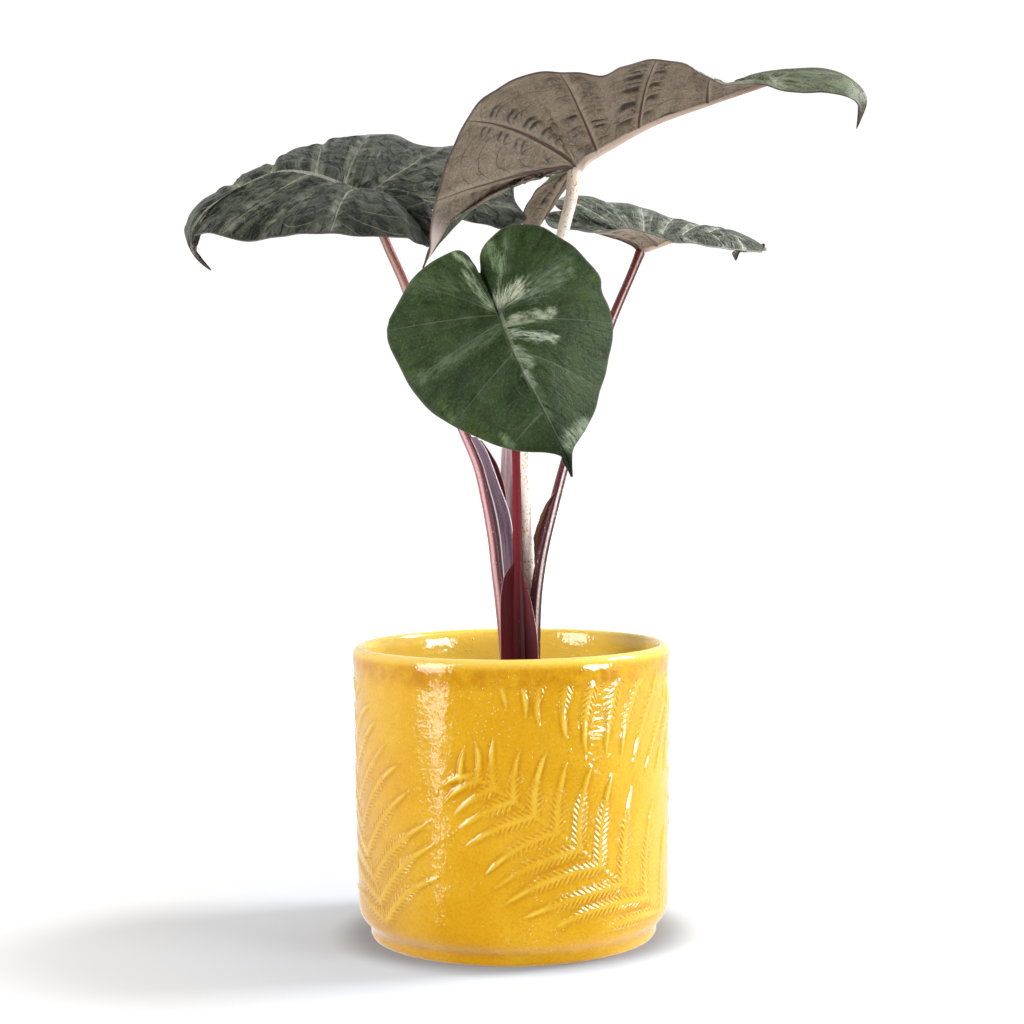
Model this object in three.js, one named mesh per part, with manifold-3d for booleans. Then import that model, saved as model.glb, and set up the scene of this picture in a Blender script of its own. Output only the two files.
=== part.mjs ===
// A potted Yucatan Princess alocasia: four heart-shaped leaves on sheathed stalks, rooted in soil
// in a plain nursery pot that stands in a glazed cover pot.
// Millimetres, +Z up. The origin is the middle of the cover pot's flat underside, and the plant's
// front, where the hanging leaf is, faces -Y.

import * as THREE from 'three';
import { mergeVertices } from 'three/addons/utils/BufferGeometryUtils.js';
import Module from 'manifold-3d';

const wasm = await Module();
wasm.setup();

// Driving dimensions
const POT_HEIGHT = 128;
const POT_RIM_RADIUS = 70;
const POT_FOOT_RADIUS = 63;
const POT_WALL = 6;
const POT_FLOOR = 6;
const POT_SEGMENTS = 48;
// The cover pot's wall by its foot as [out from the foot radius, height], and its lip as
// [out from the rim radius, depth below the rim].
const POT_FOOT_CURVE = [[-0.6, 0], [0, 0.6], [0.2, 4], [1.2, 5.8], [3.8, 8.8], [5.2, 12.4], [5.6, 18]];
const POT_LIP_CURVE = [
  [-0.7, 18], [-0.6, 11.5], [-0.2, 8.5], [0, 4.5], [-0.7, 1.6], [-2.4, 0.2], [-4, 0.3], [-5.2, 1.8],
  [-POT_WALL, 6], [-POT_WALL - 0.6, 20],
];
const POT_INSIDE_CURVE = [[-1.5, 18], [-3.5, 10], [-8, POT_FLOOR]];

const LINER_TOP_RADIUS = 59;
const LINER_FOOT_RADIUS = 44;
const LINER_HEIGHT = 96;
const LINER_WALL = 1.2;
const LINER_SEGMENTS = 32;
const DRAIN_HOLES = 6;
const DRAIN_RADIUS = 4.5;
const DRAIN_RING_RADIUS = 28;
const DRAIN_SEGMENTS = 10;
const FIT_GAP = 0.3;
const LINER_BASE = POT_FLOOR + FIT_GAP;
const LINER_TOP = LINER_BASE + LINER_HEIGHT;
// The rim band stands out this far from the wall below it, and is this deep.
const LINER_RIM_STEP = 3;
const LINER_RIM_DEPTH = 8;
const LINER_FOOT_BEVEL = 1;

const SOIL_TOP = 95;
const SOIL_EDGE = LINER_TOP - 11;
// The soil's top as [radius, height above SOIL_TOP], and its crumbs' height and size.
const SOIL_DOME = [[44, -3], [34, -1], [25, 0], [16, 0.6], [0, 1]];
const SOIL_CRUMB = 0.55;
const SOIL_CRUMB_WAVES = [0.9, 0.8, 0.37, 0.55];
const STEM_HOLE_CLEARANCE = 0.35;
const STEM_HOLE_OVERRUN = 2;

const ROOTSTOCK_TOP = 82;
const ROOTSTOCK_HEIGHT = 24;
const ROOTSTOCK_RADIUS = 12;
const ROOTSTOCK_SEGMENTS = 20;
const ROOT_COUNT = 7;
const ROOT_LENGTH = 34;
const ROOT_RADIUS = 1.6;
const ROOT_DROP = 12;
const ROOT_DROP_SPREAD = 8;
const ROOT_STEPS = 6;
const ROOT_SIDES = 6;

const MERGE_TOLERANCE = 0.02;

const BLADE_THICKNESS = 0.8;
const MIDRIB_HEIGHT = 1.7;
const VEIN_HEIGHT = 0.5;
const QUILT_HEIGHT = 1;
const QUILT_FULL_REACH = 40;
const BLADE_COLUMNS = 6;
const LOBE_STEPS_PER_ROW = 2;
const BLADE_STATIONS = 20;

const STALK_SIDES = 10;
const STALK_STEPS = 22;
const STALK_SEAT_DEPTH = 3.4;
const SHEATH_THICKNESS = 0.9;
const SHEATH_MIDDLE = 0.55;
const SHEATH_STEPS = 10;

// Finishes
const finish = (color, roughness) => new THREE.MeshStandardMaterial({ color, roughness, metalness: 0 });
const GLAZE = finish('#e2a620', 0.18);
const NURSERY_PLASTIC = finish('#1c1c1e', 0.55);
const SOIL = finish('#3a2a1e', 0.95);
const ROOTSTOCK = finish('#8a6a4c', 0.8);
const GREY_GREEN_LEAF = finish('#55604f', 0.5);
const BROWN_LEAF = finish('#6f6250', 0.5);
const GLOSSY_LEAF = finish('#34502a', 0.3);
const PINK_STALK = finish('#a9696a', 0.45);
const CREAM_STALK = finish('#e3cdb0', 0.45);
const MAROON_STALK = finish('#5c1f2c', 0.4);
const RED_BROWN_STALK = finish('#7a3f3c', 0.45);

// Each blade: the junction is the first midrib point and the drip tip the last. A margin row is
// [place along the midrib from 0 to 1, x, y, z, crown]; rows at 0 belong to the back lobe, and the
// crown is how far the blade rises in its upper direction between the midrib and the margin.
const LEAF_LEFT = {
  midrib: [
    [-60.5, -2, 325], [-69, -4, 328.5], [-75, -5, 331], [-85, -6, 334.5], [-98.5, -8, 335],
    [-110.5, -11, 330.5], [-122.5, -15, 323], [-129.5, -18, 317], [-134, -22, 308.5],
    [-134, -24, 300], [-126.5, -26, 291],
  ],
  near: {
    up: [0, -0.5, 0.85],
    margin: [
      [0, -50.5, -3, 325, 0], [0, -39.5, -12, 321.5, 3], [0, -31, -19, 314, 4],
      [0, -31.5, -25, 305, 5], [0, -33.5, -29, 300, 7], [0, -41, -47, 302, 7],
      [0.01, -54.5, -53, 302.5, 6], [0.05, -69, -55, 303, 5], [0.11, -87, -52.5, 303.5, 4],
      [0.17, -101.5, -45, 302.5, 4], [0.22, -110, -40, 302, 3], [0.3, -120, -37.5, 305, 2],
      [0.42, -129.5, -30.5, 306.5, 1], [0.6, -134.4, -23, 305, 0], [0.8, -133, -26, 298, 0],
      [1, -126.5, -26, 291, 0],
    ],
    veins: [3.6, 7.2, 9, 11, 12.2],
  },
  far: {
    up: [0, -0.2, 1],
    margin: [
      [0, -51, 0, 325.5, 0], [0, -30.5, 8, 318.5, 1], [0, -13.5, 18, 315, 2], [0, -0.5, 26, 313, 2],
      [0, 9, 33, 318, 2], [0, 4, 38, 326, 2], [0, 2, 43, 339, 2], [0, -14, 49, 351.5, 2],
      [0, -36, 54, 354.5, 2], [0.06, -51, 56, 359.5, 3], [0.14, -67, 56, 360, 3],
      [0.27, -82.5, 54, 356.5, 3], [0.37, -98.5, 48, 349.5, 3], [0.44, -108, 42, 342.5, 2],
      [0.52, -122.5, 33, 335, 1], [0.6, -131, 22, 329, 1], [0.69, -137.5, 8, 321, 0.5],
      [0.78, -139.5, -10, 310.5, 0], [0.85, -137, -20, 303, 0], [0.92, -133, -24, 296.5, 0],
      [1, -126.5, -26, 291, 0],
    ],
    veins: [4.6, 7.6, 9.8, 11.1, 12.8, 14.2],
  },
};

const LEAF_TOP = {
  midrib: [
    [30.5, 5, 338.5], [42.5, 4, 345.5], [64.5, 2, 357], [88, 0, 365], [105, -3, 370],
    [121.5, -6, 374.5], [134.5, -9, 375], [146, -12, 373], [152, -14, 367], [153, -15, 360],
    [151.5, -15, 350],
  ],
  near: {
    up: [-0.2, 0.5, 0.85],
    margin: [
      [0, 9.5, 2, 332, 0], [0, -3, -12, 324.5, 1], [0, -20.5, -26, 313, 3], [0, -29.5, -33, 305, 5],
      [0, -35.5, -38, 290, 10.5], [0, -32.5, -40, 301, 8], [0, -30, -41, 318, 2.5],
      [0, -20.5, -54, 341.5, 5], [0, -9, -58, 357.5, 7], [0, 7, -62, 365.5, 6],
      [0.09, 24, -64, 367, 6], [0.115, 39, -64, 365, 5], [0.14, 48, -61.5, 369.5, 5],
      [0.16, 58.5, -58, 372, 4], [0.225, 74, -54.5, 371.5, 2.5], [0.32, 88, -43.5, 366, 1],
      [0.42, 104.5, -31, 367, 1.5], [0.55, 124, -27.5, 364, 1], [0.68, 135.5, -26.5, 364, 1.5],
      [0.8, 146, -25.5, 362, 1], [0.9, 151.5, -20, 358.5, 0.3], [1, 151.5, -15, 350, 0],
    ],
    veins: [6, 7.4, 9.9, 13.24, 14.8, 16.5],
  },
  far: {
    up: [0.1, -0.1, 1],
    margin: [
      [0, 24, 7, 334.5, 0], [0, 14, 18, 329.5, 0.5], [0, 8, 34, 322.5, 1], [0, 8, 44, 315.5, 1],
      [0, 15, 50, 317.5, 1.5], [0, 30, 62, 339, 2], [0.02, 41, 72, 351, 2], [0.1, 50.5, 76, 357, 1.5],
      [0.22, 64, 72, 367, 0.5], [0.35, 83, 62, 374, 0], [0.48, 100.5, 50, 380, 0],
      [0.6, 114, 34, 383, 0.5], [0.7, 128.5, 12, 381, 1], [0.79, 140.5, 2, 379, 1],
      [0.88, 150.5, -6, 373, 0.5], [0.93, 156.5, -10, 363.5, 0.3], [1, 151.5, -15, 350, 0],
    ],
    veins: [4, 5.6, 7.1, 8.5, 10, 11.5],
  },
};

const LEAF_FRONT = {
  midrib: [
    [-3.5, -52, 269.5], [-0.5, -57, 260.5], [5, -62, 247.5], [12, -66, 234], [18.5, -67, 221],
    [23, -66, 211.5], [26, -63, 202],
  ],
  near: {
    up: [0.1, -0.9, 0.35],
    margin: [
      [0, -11, -46, 287, 0], [0, -11, -44, 295, 1], [0, -7, -42, 302, 2], [0, 0.5, -40, 307, 3],
      [0, 13, -38, 307.5, 4], [0, 23.5, -38, 302, 5], [0, 32, -38, 294.5, 5], [0, 39, -38, 286, 5],
      [0, 40.1, -38.5, 279, 5.5],
      [0.1, 44.3, -40.5, 264.5, 6], [0.2, 41.2, -45, 248, 6], [0.34, 35.5, -54, 229, 5],
      [0.58, 28.5, -62, 217, 2], [0.8, 26, -65, 211.5, 0.5], [1, 26, -63, 202, 0],
    ],
    veins: [3.1, 5.6, 8.9, 10.5, 12],
  },
  far: {
    up: [-0.1, -0.9, 0.35],
    margin: [
      [0, -11, -46, 287, 0], [0, -14, -49, 289.5, 0.5], [0, -16.5, -50, 294, 0.5],
      [0, -21.5, -51, 296, 1], [0, -32.5, -50, 290.5, 1.5], [0, -41.5, -47, 282, 2],
      [0.01, -50.3, -44, 264.5, 2.5], [0.05, -46, -45, 250, 2.5], [0.12, -35, -49, 232.5, 2.5],
      [0.31, -19.5, -55, 222, 2], [0.56, 0, -61, 214, 1.5], [0.8, 19.5, -66, 211.5, 0.5],
      [0.9, 22, -66, 208.5, 0.3], [1, 26, -63, 202, 0],
    ],
    veins: [2.6, 4.85, 6.05, 7.5, 8.8, 10],
  },
};

const LEAF_RIGHT = {
  midrib: [
    [64, 72, 308], [71, 72, 310], [77.5, 71, 312], [86, 70, 313.5], [94, 69, 314],
    [102.5, 68, 314], [112, 67, 311.5], [121, 66, 308], [118, 63, 305], [110.5, 60, 306],
    [107, 58, 300],
  ],
  near: {
    up: [0, -0.3, 1],
    margin: [
      [0, 57.5, 70, 313.5, 0], [0, 44, 65, 320, 1], [0, 30, 60, 324, 2], [0, 20, 57, 323.5, 2],
      [0, 18, 54, 320, 2], [0, 21, 50, 317, 2], [0, 30.5, 45, 314.5, 2], [0, 40.5, 40, 312.5, 2],
      [0.02, 49, 34, 313, 1], [0.07, 58, 30, 312.5, 0], [0.13, 66, 28, 310.5, 0],
      [0.2, 75.5, 28, 307, 1], [0.3, 89.5, 31, 305, 2], [0.42, 102, 37, 304, 2],
      [0.55, 110.5, 47, 304, 2], [0.66, 119, 55, 304, 1], [0.8, 114, 58.5, 304.8, 0],
      [0.9, 109.3, 59, 304.3, 0], [1, 107, 58, 300, 0],
    ],
    veins: [5, 7, 9.5, 11.6, 12.8, 13.9],
  },
  far: {
    up: [0, -0.3, 1],
    margin: [
      [0, 58, 74, 313.5, 0], [0, 47, 84, 320.5, 1], [0, 33.5, 92, 325.5, 2], [0, 24, 99, 331, 2],
      [0, 27.5, 108, 337, 2], [0, 39, 114, 338, 2], [0, 49.5, 118, 335.5, 2],
      [0.01, 62, 121, 334, 2], [0.06, 74.5, 122, 330.5, 2], [0.14, 85.5, 120, 326.5, 2],
      [0.26, 98.5, 113, 321, 2], [0.38, 108, 101, 317.5, 2], [0.48, 115.5, 87, 313.5, 1.5],
      [0.56, 121, 76, 309.5, 1], [0.66, 122.5, 68, 306, 0.5], [0.8, 113.5, 61, 305, 0],
      [0.9, 105.8, 59, 304.3, 0], [1, 107, 58, 300, 0],
    ],
    veins: [4, 5.8, 7.4, 8.8, 10, 11.2],
  },
};

// Each stalk runs from the rootstock to just under its blade's junction. A sheath wing is a thin
// flap from the stalk's core out to its free margin; bow is how far its middle stands out.
const STALKS = {
  left: {
    leaf: LEAF_LEFT,
    radii: [3, 2.6, 2.3, 2.1, 2],
    route: [
      [-3, -1, 82.5], [-2.6, -1, 100], [-2.4, -1, 122], [-4.2, -1, 145], [-6, -1, 161],
      [-7.4, -1, 174], [-10.2, -1, 191], [-13.6, -1, 206], [-20, -1, 222], [-29, -2, 243],
      [-37, -2, 264], [-45.8, -2, 288], [-51.5, -2, 301], [-56, -2, 312],
    ],
    sheaths: [
      {
        bow: [0, -1.2, 0],
        margin: [[3.2, -3.4, 99], [3.2, -3.4, 125], [2.6, -3.2, 155], [1, -3, 181], [-4.6, -2.6, 198.5],
          [-10, -2, 213], [-14, -1.2, 219]],
      },
      {
        bow: [0, 1, 0],
        margin: [[0.5, 3.4, 99], [0.6, 3.2, 150], [-1, 1.8, 190], [-4, 1.7, 204], [-7.5, 1.4, 211],
          [-12, 0.6, 217.5]],
      },
    ],
  },
  top: {
    leaf: LEAF_TOP,
    radii: [3, 2.5, 2.4, 2.6, 2.8],
    route: [
      [5, 6.5, 82.5], [5.2, 6.2, 100], [7, 5.8, 122], [8.4, 5.2, 145], [8, 5, 163], [7.3, 5, 176],
      [7, 5.3, 196], [7.2, 6, 211], [9, 8, 235], [14, 9, 262], [20, 8, 290], [25.5, 7, 312],
      [28.8, 6, 325],
    ],
    sheaths: [
      {
        bow: [0, 0.8, 0],
        margin: [[-3, 6.6, 99], [-2.6, 6.2, 125], [-2.8, 5.4, 150], [-3.6, 4.6, 182], [-3.5, 4.4, 213],
          [-0.5, 5.4, 226], [6.2, 6.8, 236]],
      },
    ],
  },
  front: {
    leaf: LEAF_FRONT,
    radii: [3, 2.6, 2, 1.7, 1.8],
    route: [
      [3.5, -8.5, 82.5], [3.6, -9, 100], [3.6, -9.2, 122], [3.3, -9.8, 165], [3, -14, 212],
      [2, -22, 235], [0, -34, 253], [-1.6, -43, 262.5],
    ],
    sheaths: [
      {
        bow: [-0.6, -1.6, 0],
        margin: [[-4.4, -6.4, 99], [-4.8, -5.8, 122], [-4.5, -6, 145], [-3.5, -7, 153.5],
          [-2.2, -8, 158.5], [1.5, -9.4, 164]],
      },
      {
        bow: [0.6, -1.6, 0],
        margin: [[11.2, -6, 99], [11.8, -5.6, 122], [11.5, -6, 132], [10.5, -6.2, 139.5], [9, -7, 147.5],
          [6.8, -8.2, 155], [4.6, -9.4, 161.5]],
      },
    ],
  },
  right: {
    leaf: LEAF_RIGHT,
    radii: [3, 2.6, 2.2, 2.1, 2.1],
    route: [
      [9.8, -0.8, 82.5], [10, -0.9, 100], [10.2, -1, 122], [11.2, -0.8, 147], [13.3, 0, 162],
      [15.6, 1.4, 173], [19, 4.4, 186], [24, 10.5, 204], [32.4, 24, 231], [41.6, 40, 255],
      [48.5, 51, 273], [58, 64.5, 294], [61.5, 69, 302],
    ],
    sheaths: [
      {
        bow: [0, 0.5, 0],
        margin: [[9.9, 2.3, 99], [8.6, 1.2, 122], [9.2, 0.8, 135], [10.6, 1, 153.5], [10.4, 1.2, 170],
          [11, 1.4, 177], [15.4, 2.6, 188.5], [19.5, 4.6, 194]],
      },
    ],
  },
};

// Curves and solids

const vec = (p) => new THREE.Vector3(p[0], p[1], p[2]);

// A value or point list read as an even Catmull-Rom curve, at u from 0 to the last index.
function along(rows, u) {
  const last = rows.length - 1;
  const i = Math.min(Math.max(Math.floor(u), 0), last - 1);
  const t = u - i;
  const at = (k, c) => {
    if (k < 0) return 2 * rows[0][c] - rows[1][c];
    if (k > last) return 2 * rows[last][c] - rows[last - 1][c];
    return rows[k][c];
  };
  return rows[0].map((_, c) => {
    const [a, b, d, e] = [at(i - 1, c), at(i, c), at(i + 1, c), at(i + 2, c)];
    const v0 = (d - a) / 2;
    const v1 = (e - b) / 2;
    return (2 * b - 2 * d + v0 + v1) * t ** 3 + (3 * d - 3 * b - 2 * v0 - v1) * t ** 2 + v0 * t + b;
  });
}

// Points and triangles as one indexed geometry, with doubled points and empty triangles dropped.
function geometryOf(points, triangles) {
  const flat = new THREE.BufferGeometry();
  flat.setAttribute('position', new THREE.Float32BufferAttribute(points.flatMap((p) => [p.x, p.y, p.z]), 3));
  flat.setIndex(triangles.flat());
  const merged = mergeVertices(flat, 1e-3);
  const index = merged.getIndex().array;
  const kept = [];
  for (let i = 0; i < index.length; i += 3) {
    const [a, b, c] = [index[i], index[i + 1], index[i + 2]];
    if (a !== b && b !== c && c !== a) kept.push(a, b, c);
  }
  merged.setIndex(kept);
  return merged;
}

function toManifold(geometry) {
  const bare = new THREE.BufferGeometry();
  bare.setAttribute('position', geometry.getAttribute('position'));
  if (geometry.getIndex()) bare.setIndex(geometry.getIndex());
  const merged = mergeVertices(bare, 1e-3);
  return new wasm.Manifold(new wasm.Mesh({
    numProp: 3,
    vertProperties: new Float32Array(merged.getAttribute('position').array),
    triVerts: new Uint32Array(merged.getIndex().array),
  }));
}

function fromManifold(solid) {
  const mesh = solid.getMesh();
  const geometry = new THREE.BufferGeometry();
  geometry.setAttribute('position', new THREE.BufferAttribute(mesh.vertProperties, 3));
  geometry.setIndex(new THREE.BufferAttribute(mesh.triVerts, 1));
  return geometry;
}

function largestPiece(solid) {
  return solid.decompose().reduce((a, b) => (b.volume() > a.volume() ? b : a));
}

// Rings of equal length joined into a tube with flat ends.
function loft(rings) {
  const n = rings[0].length;
  const points = rings.flat();
  const triangles = [];
  for (let r = 0; r + 1 < rings.length; r += 1) {
    for (let k = 0; k < n; k += 1) {
      const a = r * n + k;
      const b = r * n + ((k + 1) % n);
      triangles.push([a, b, b + n], [a, b + n, a + n]);
    }
  }
  const top = (rings.length - 1) * n;
  for (let k = 1; k + 1 < n; k += 1) {
    triangles.push([0, k + 1, k], [top, top + k, top + k + 1]);
  }
  return geometryOf(points, triangles);
}

function lathe(profile, segments) {
  const rings = profile.map(([r, z]) => new THREE.Vector2(r, z));
  const geometry = new THREE.LatheGeometry(rings, segments);
  geometry.rotateX(Math.PI / 2);
  geometry.deleteAttribute('normal');
  geometry.deleteAttribute('uv');
  const position = geometry.getAttribute('position');
  const points = [];
  for (let i = 0; i < position.count; i += 1) {
    points.push(new THREE.Vector3().fromBufferAttribute(position, i));
  }
  const index = [...geometry.getIndex().array];
  const triangles = [];
  for (let i = 0; i < index.length; i += 3) triangles.push([index[i], index[i + 1], index[i + 2]]);
  return outward(geometryOf(points, triangles));
}

// Faces turned to point out of the solid.
function outward(geometry) {
  const position = geometry.getAttribute('position');
  const index = geometry.getIndex().array;
  const [a, b, c] = [new THREE.Vector3(), new THREE.Vector3(), new THREE.Vector3()];
  let volume = 0;
  for (let i = 0; i < index.length; i += 3) {
    a.fromBufferAttribute(position, index[i]);
    b.fromBufferAttribute(position, index[i + 1]);
    c.fromBufferAttribute(position, index[i + 2]);
    volume += a.dot(b.cross(c));
  }
  if (volume < 0) {
    for (let i = 0; i < index.length; i += 3) [index[i], index[i + 1]] = [index[i + 1], index[i]];
  }
  return geometry;
}

// A round tube along a route, with its radius read from a short list of stations.
function stalkTube(route, radii, extra = 0) {
  const curve = new THREE.CatmullRomCurve3(route.map(vec), false, 'centripetal');
  const frames = curve.computeFrenetFrames(STALK_STEPS, false);
  const rings = [];
  for (let i = 0; i <= STALK_STEPS; i += 1) {
    const u = i / STALK_STEPS;
    const centre = curve.getPointAt(u);
    const radius = along(radii.map((r) => [r]), u * (radii.length - 1))[0] + extra;
    const ring = [];
    for (let k = 0; k < STALK_SIDES; k += 1) {
      const angle = (k / STALK_SIDES) * 2 * Math.PI;
      ring.push(centre.clone()
        .addScaledVector(frames.normals[i], radius * Math.cos(angle))
        .addScaledVector(frames.binormals[i], radius * Math.sin(angle)));
    }
    rings.push(ring);
  }
  return outward(loft(rings));
}

// The point of a stalk's route at a height.
function routeAt(route, z) {
  let k = 0;
  while (k + 2 < route.length && route[k + 1][2] < z) k += 1;
  const [a, b] = [route[k], route[k + 1]];
  return vec(a).lerp(vec(b), (z - a[2]) / (b[2] - a[2]));
}

// A thin curved flap between the stalk's core and the sheath's free margin.
function sheathWing(route, sheath) {
  const rings = [];
  for (let i = 0; i <= SHEATH_STEPS; i += 1) {
    const u = (i / SHEATH_STEPS) * (sheath.margin.length - 1);
    const edge = vec(along(sheath.margin, u));
    const root = routeAt(route, edge.z);
    const across = edge.clone().sub(root);
    const middle = root.clone().addScaledVector(across, SHEATH_MIDDLE).add(vec(sheath.bow));
    const face = new THREE.Vector3().crossVectors(across, new THREE.Vector3(0, 0, 1)).normalize();
    face.multiplyScalar(SHEATH_THICKNESS / 2);
    const line = [root, middle, edge];
    rings.push([
      ...line.map((p) => p.clone().add(face)),
      ...line.reverse().map((p) => p.clone().sub(face)),
    ]);
  }
  return outward(loft(rings));
}

// Where a margin passes a given place along the midrib: rows at 0 are the lobe.
function lobeEnd(margin) {
  let last = 0;
  while (margin[last + 1][0] === 0) last += 1;
  return last;
}

function rowAtStation(margin, station) {
  let low = lobeEnd(margin);
  let high = margin.length - 1;
  for (let i = 0; i < 30; i += 1) {
    const middle = (low + high) / 2;
    if (along(margin, middle)[0] < station) low = middle;
    else high = middle;
  }
  return (low + high) / 2;
}

// How far a place on the blade stands between two side veins: 0 on a vein, 1 midway.
function quilt(veins, u) {
  const nearest = Math.min(...veins.map((v) => Math.abs(v - u)));
  return Math.min(nearest / 0.5, 1);
}

// The lines of one half blade: each goes from the midrib out to the margin.
function halfBlade(leaf, side) {
  const { up, margin, veins } = leaf[side];
  const lobeRows = lobeEnd(margin) * LOBE_STEPS_PER_ROW;
  const rows = [];
  for (let i = 0; i < lobeRows; i += 1) rows.push([i / LOBE_STEPS_PER_ROW, 0]);
  for (let i = 0; i <= BLADE_STATIONS; i += 1) {
    const station = i / BLADE_STATIONS;
    rows.push([station === 0 ? lobeEnd(margin) : rowAtStation(margin, station), station]);
  }
  const upper = vec(up).normalize();
  return rows.map(([u, station]) => {
    const [, x, y, z, crown] = along(margin, u);
    const start = vec(along(leaf.midrib, station * (leaf.midrib.length - 1)));
    const line = new THREE.Vector3(x, y, z).sub(start);
    const reach = line.length();
    const lift = upper.clone().addScaledVector(line, -upper.dot(line) / (reach * reach + 1e-9)).normalize();
    const points = [];
    for (let k = 0; k <= BLADE_COLUMNS; k += 1) {
      const w = k / BLADE_COLUMNS;
      const swell = 4 * w * (1 - w);
      const bulge = QUILT_HEIGHT * quilt(veins, u) * swell * Math.min(reach / QUILT_FULL_REACH, u, 1);
      const point = start.clone().addScaledVector(line, w).addScaledVector(lift, crown * swell + bulge);
      const midrib = MIDRIB_HEIGHT * (1 - station) * Math.max(0, 1 - k);
      const vein = VEIN_HEIGHT * (1 - quilt(veins, u)) * (1 - w);
      points.push({ point, rib: midrib + vein });
    }
    return points;
  });
}

// A blade as one closed solid: its upper face, the same face lowered by its thickness, and the rim.
// With a clearance it is swollen by that much on both faces.
function blade(leaf, clearance = 0) {
  const points = [];
  const ribs = [];
  const triangles = [];
  const known = new Map();
  const indexOf = ({ point, rib }) => {
    const key = [point.x, point.y, point.z].map((c) => c.toFixed(2)).join(' ');
    if (!known.has(key)) {
      known.set(key, points.length);
      points.push(point);
      ribs.push(rib);
    }
    const index = known.get(key);
    ribs[index] = Math.max(ribs[index], rib);
    return index;
  };
  const push = (a, b, c) => {
    if (a !== b && b !== c && c !== a) triangles.push([a, b, c]);
  };
  for (const side of ['near', 'far']) {
    const grid = halfBlade(leaf, side).map((row) => row.map(indexOf));
    for (let r = 0; r + 1 < grid.length; r += 1) {
      for (let k = 0; k < BLADE_COLUMNS; k += 1) {
        const [a, b, c, d] = [grid[r][k], grid[r + 1][k], grid[r + 1][k + 1], grid[r][k + 1]];
        if (side === 'near') {
          push(a, b, c);
          push(a, c, d);
        } else {
          push(a, c, b);
          push(a, d, c);
        }
      }
    }
  }

  const upper = vec(leaf.near.up).add(vec(leaf.far.up));
  const normals = points.map(() => new THREE.Vector3());
  let turned = 0;
  for (const [a, b, c] of triangles) {
    const face = points[b].clone().sub(points[a]).cross(points[c].clone().sub(points[a]));
    turned += face.dot(upper);
    for (const i of [a, b, c]) normals[i].add(face);
  }
  const sign = Math.sign(turned);
  const n = points.length;
  const solid = [];
  for (let i = 0; i < n; i += 1) {
    solid.push(points[i].clone().addScaledVector(normals[i].normalize(), sign * clearance));
  }
  for (let i = 0; i < n; i += 1) {
    const depth = BLADE_THICKNESS + ribs[i] + clearance;
    solid.push(points[i].clone().addScaledVector(normals[i], -sign * depth));
  }

  const edges = new Map();
  for (const [a, b, c] of triangles) {
    for (const [p, q] of [[a, b], [b, c], [c, a]]) {
      if (edges.has(`${q} ${p}`)) edges.delete(`${q} ${p}`);
      else edges.set(`${p} ${q}`, [p, q]);
    }
  }
  const faces = triangles.map((t) => [...t]);
  for (const [a, b, c] of triangles) faces.push([a + n, c + n, b + n]);
  for (const [p, q] of edges.values()) faces.push([q, p, p + n], [q, p + n, q + n]);
  return outward(geometryOf(solid, faces));
}

// The plant's stalks, fused with their sheaths and cut clear of their blades.
function stalk({ leaf, route, radii, sheaths }) {
  const head = vec(leaf.midrib[0]);
  const neck = vec(route[route.length - 1]);
  const seat = head.clone().lerp(neck, STALK_SEAT_DEPTH / head.distanceTo(neck));
  const fullRoute = [...route, seat.toArray()];
  let solid = toManifold(stalkTube(fullRoute, radii));
  for (const sheath of sheaths) solid = solid.add(toManifold(sheathWing(fullRoute, sheath)));
  solid = solid.subtract(toManifold(blade(leaf, FIT_GAP)));
  return fromManifold(largestPiece(solid).simplify(MERGE_TOLERANCE));
}

// The rootstock that the stalks grow from: a short tuber with thick roots. The extra swells it all
// round, for its bed in the soil.
function rootstock(extra = 0) {
  const [h, r] = [ROOTSTOCK_HEIGHT, ROOTSTOCK_RADIUS];
  const bottom = ROOTSTOCK_TOP - h;
  const bevel = h / 12;
  let solid = toManifold(lathe([
    [0, bottom - extra], [r * 0.55 + extra, bottom + bevel - extra], [r * 0.9 + extra, bottom + h * 0.3],
    [r + extra, bottom + h * 0.65], [r * 0.95 + extra, ROOTSTOCK_TOP - bevel],
    [r * 0.8, ROOTSTOCK_TOP + extra], [0, ROOTSTOCK_TOP + extra],
  ], ROOTSTOCK_SEGMENTS));
  for (let i = 0; i < ROOT_COUNT; i += 1) {
    const angle = (i / ROOT_COUNT) * 2 * Math.PI + 0.4 * Math.sin(3 * i);
    const drop = ROOT_DROP + ROOT_DROP_SPREAD * Math.sin(2 * i + 1);
    const reach = ROOT_LENGTH * (0.85 + 0.15 * Math.cos(5 * i));
    solid = solid.add(toManifold(root(angle, reach, bottom, drop, extra)));
  }
  return solid;
}

// One tapered root from inside the tuber's foot, out and down.
function root(angle, reach, bottom, drop, extra) {
  const at = (radius, z) => vec([radius * Math.cos(angle), radius * Math.sin(angle), z]);
  const h = ROOTSTOCK_HEIGHT;
  const curve = new THREE.CatmullRomCurve3([
    at(ROOTSTOCK_RADIUS / 3, bottom + 0.375 * h),
    at(ROOTSTOCK_RADIUS * 1.5, bottom + 0.25 * h - 0.3 * drop),
    at(reach, bottom - drop),
  ]);
  const frames = curve.computeFrenetFrames(ROOT_STEPS, false);
  const rings = frames.normals.map((normal, step) => {
    const radius = ROOT_RADIUS * (1 - 0.5 * (step / ROOT_STEPS)) + extra;
    const centre = curve.getPointAt(step / ROOT_STEPS);
    if (step === ROOT_STEPS) centre.addScaledVector(frames.tangents[step], extra);
    return Array.from({ length: ROOT_SIDES }, (_, k) => centre.clone()
      .addScaledVector(normal, radius * Math.cos((k / ROOT_SIDES) * 2 * Math.PI))
      .addScaledVector(frames.binormals[step], radius * Math.sin((k / ROOT_SIDES) * 2 * Math.PI)));
  });
  return outward(loft(rings));
}

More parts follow.
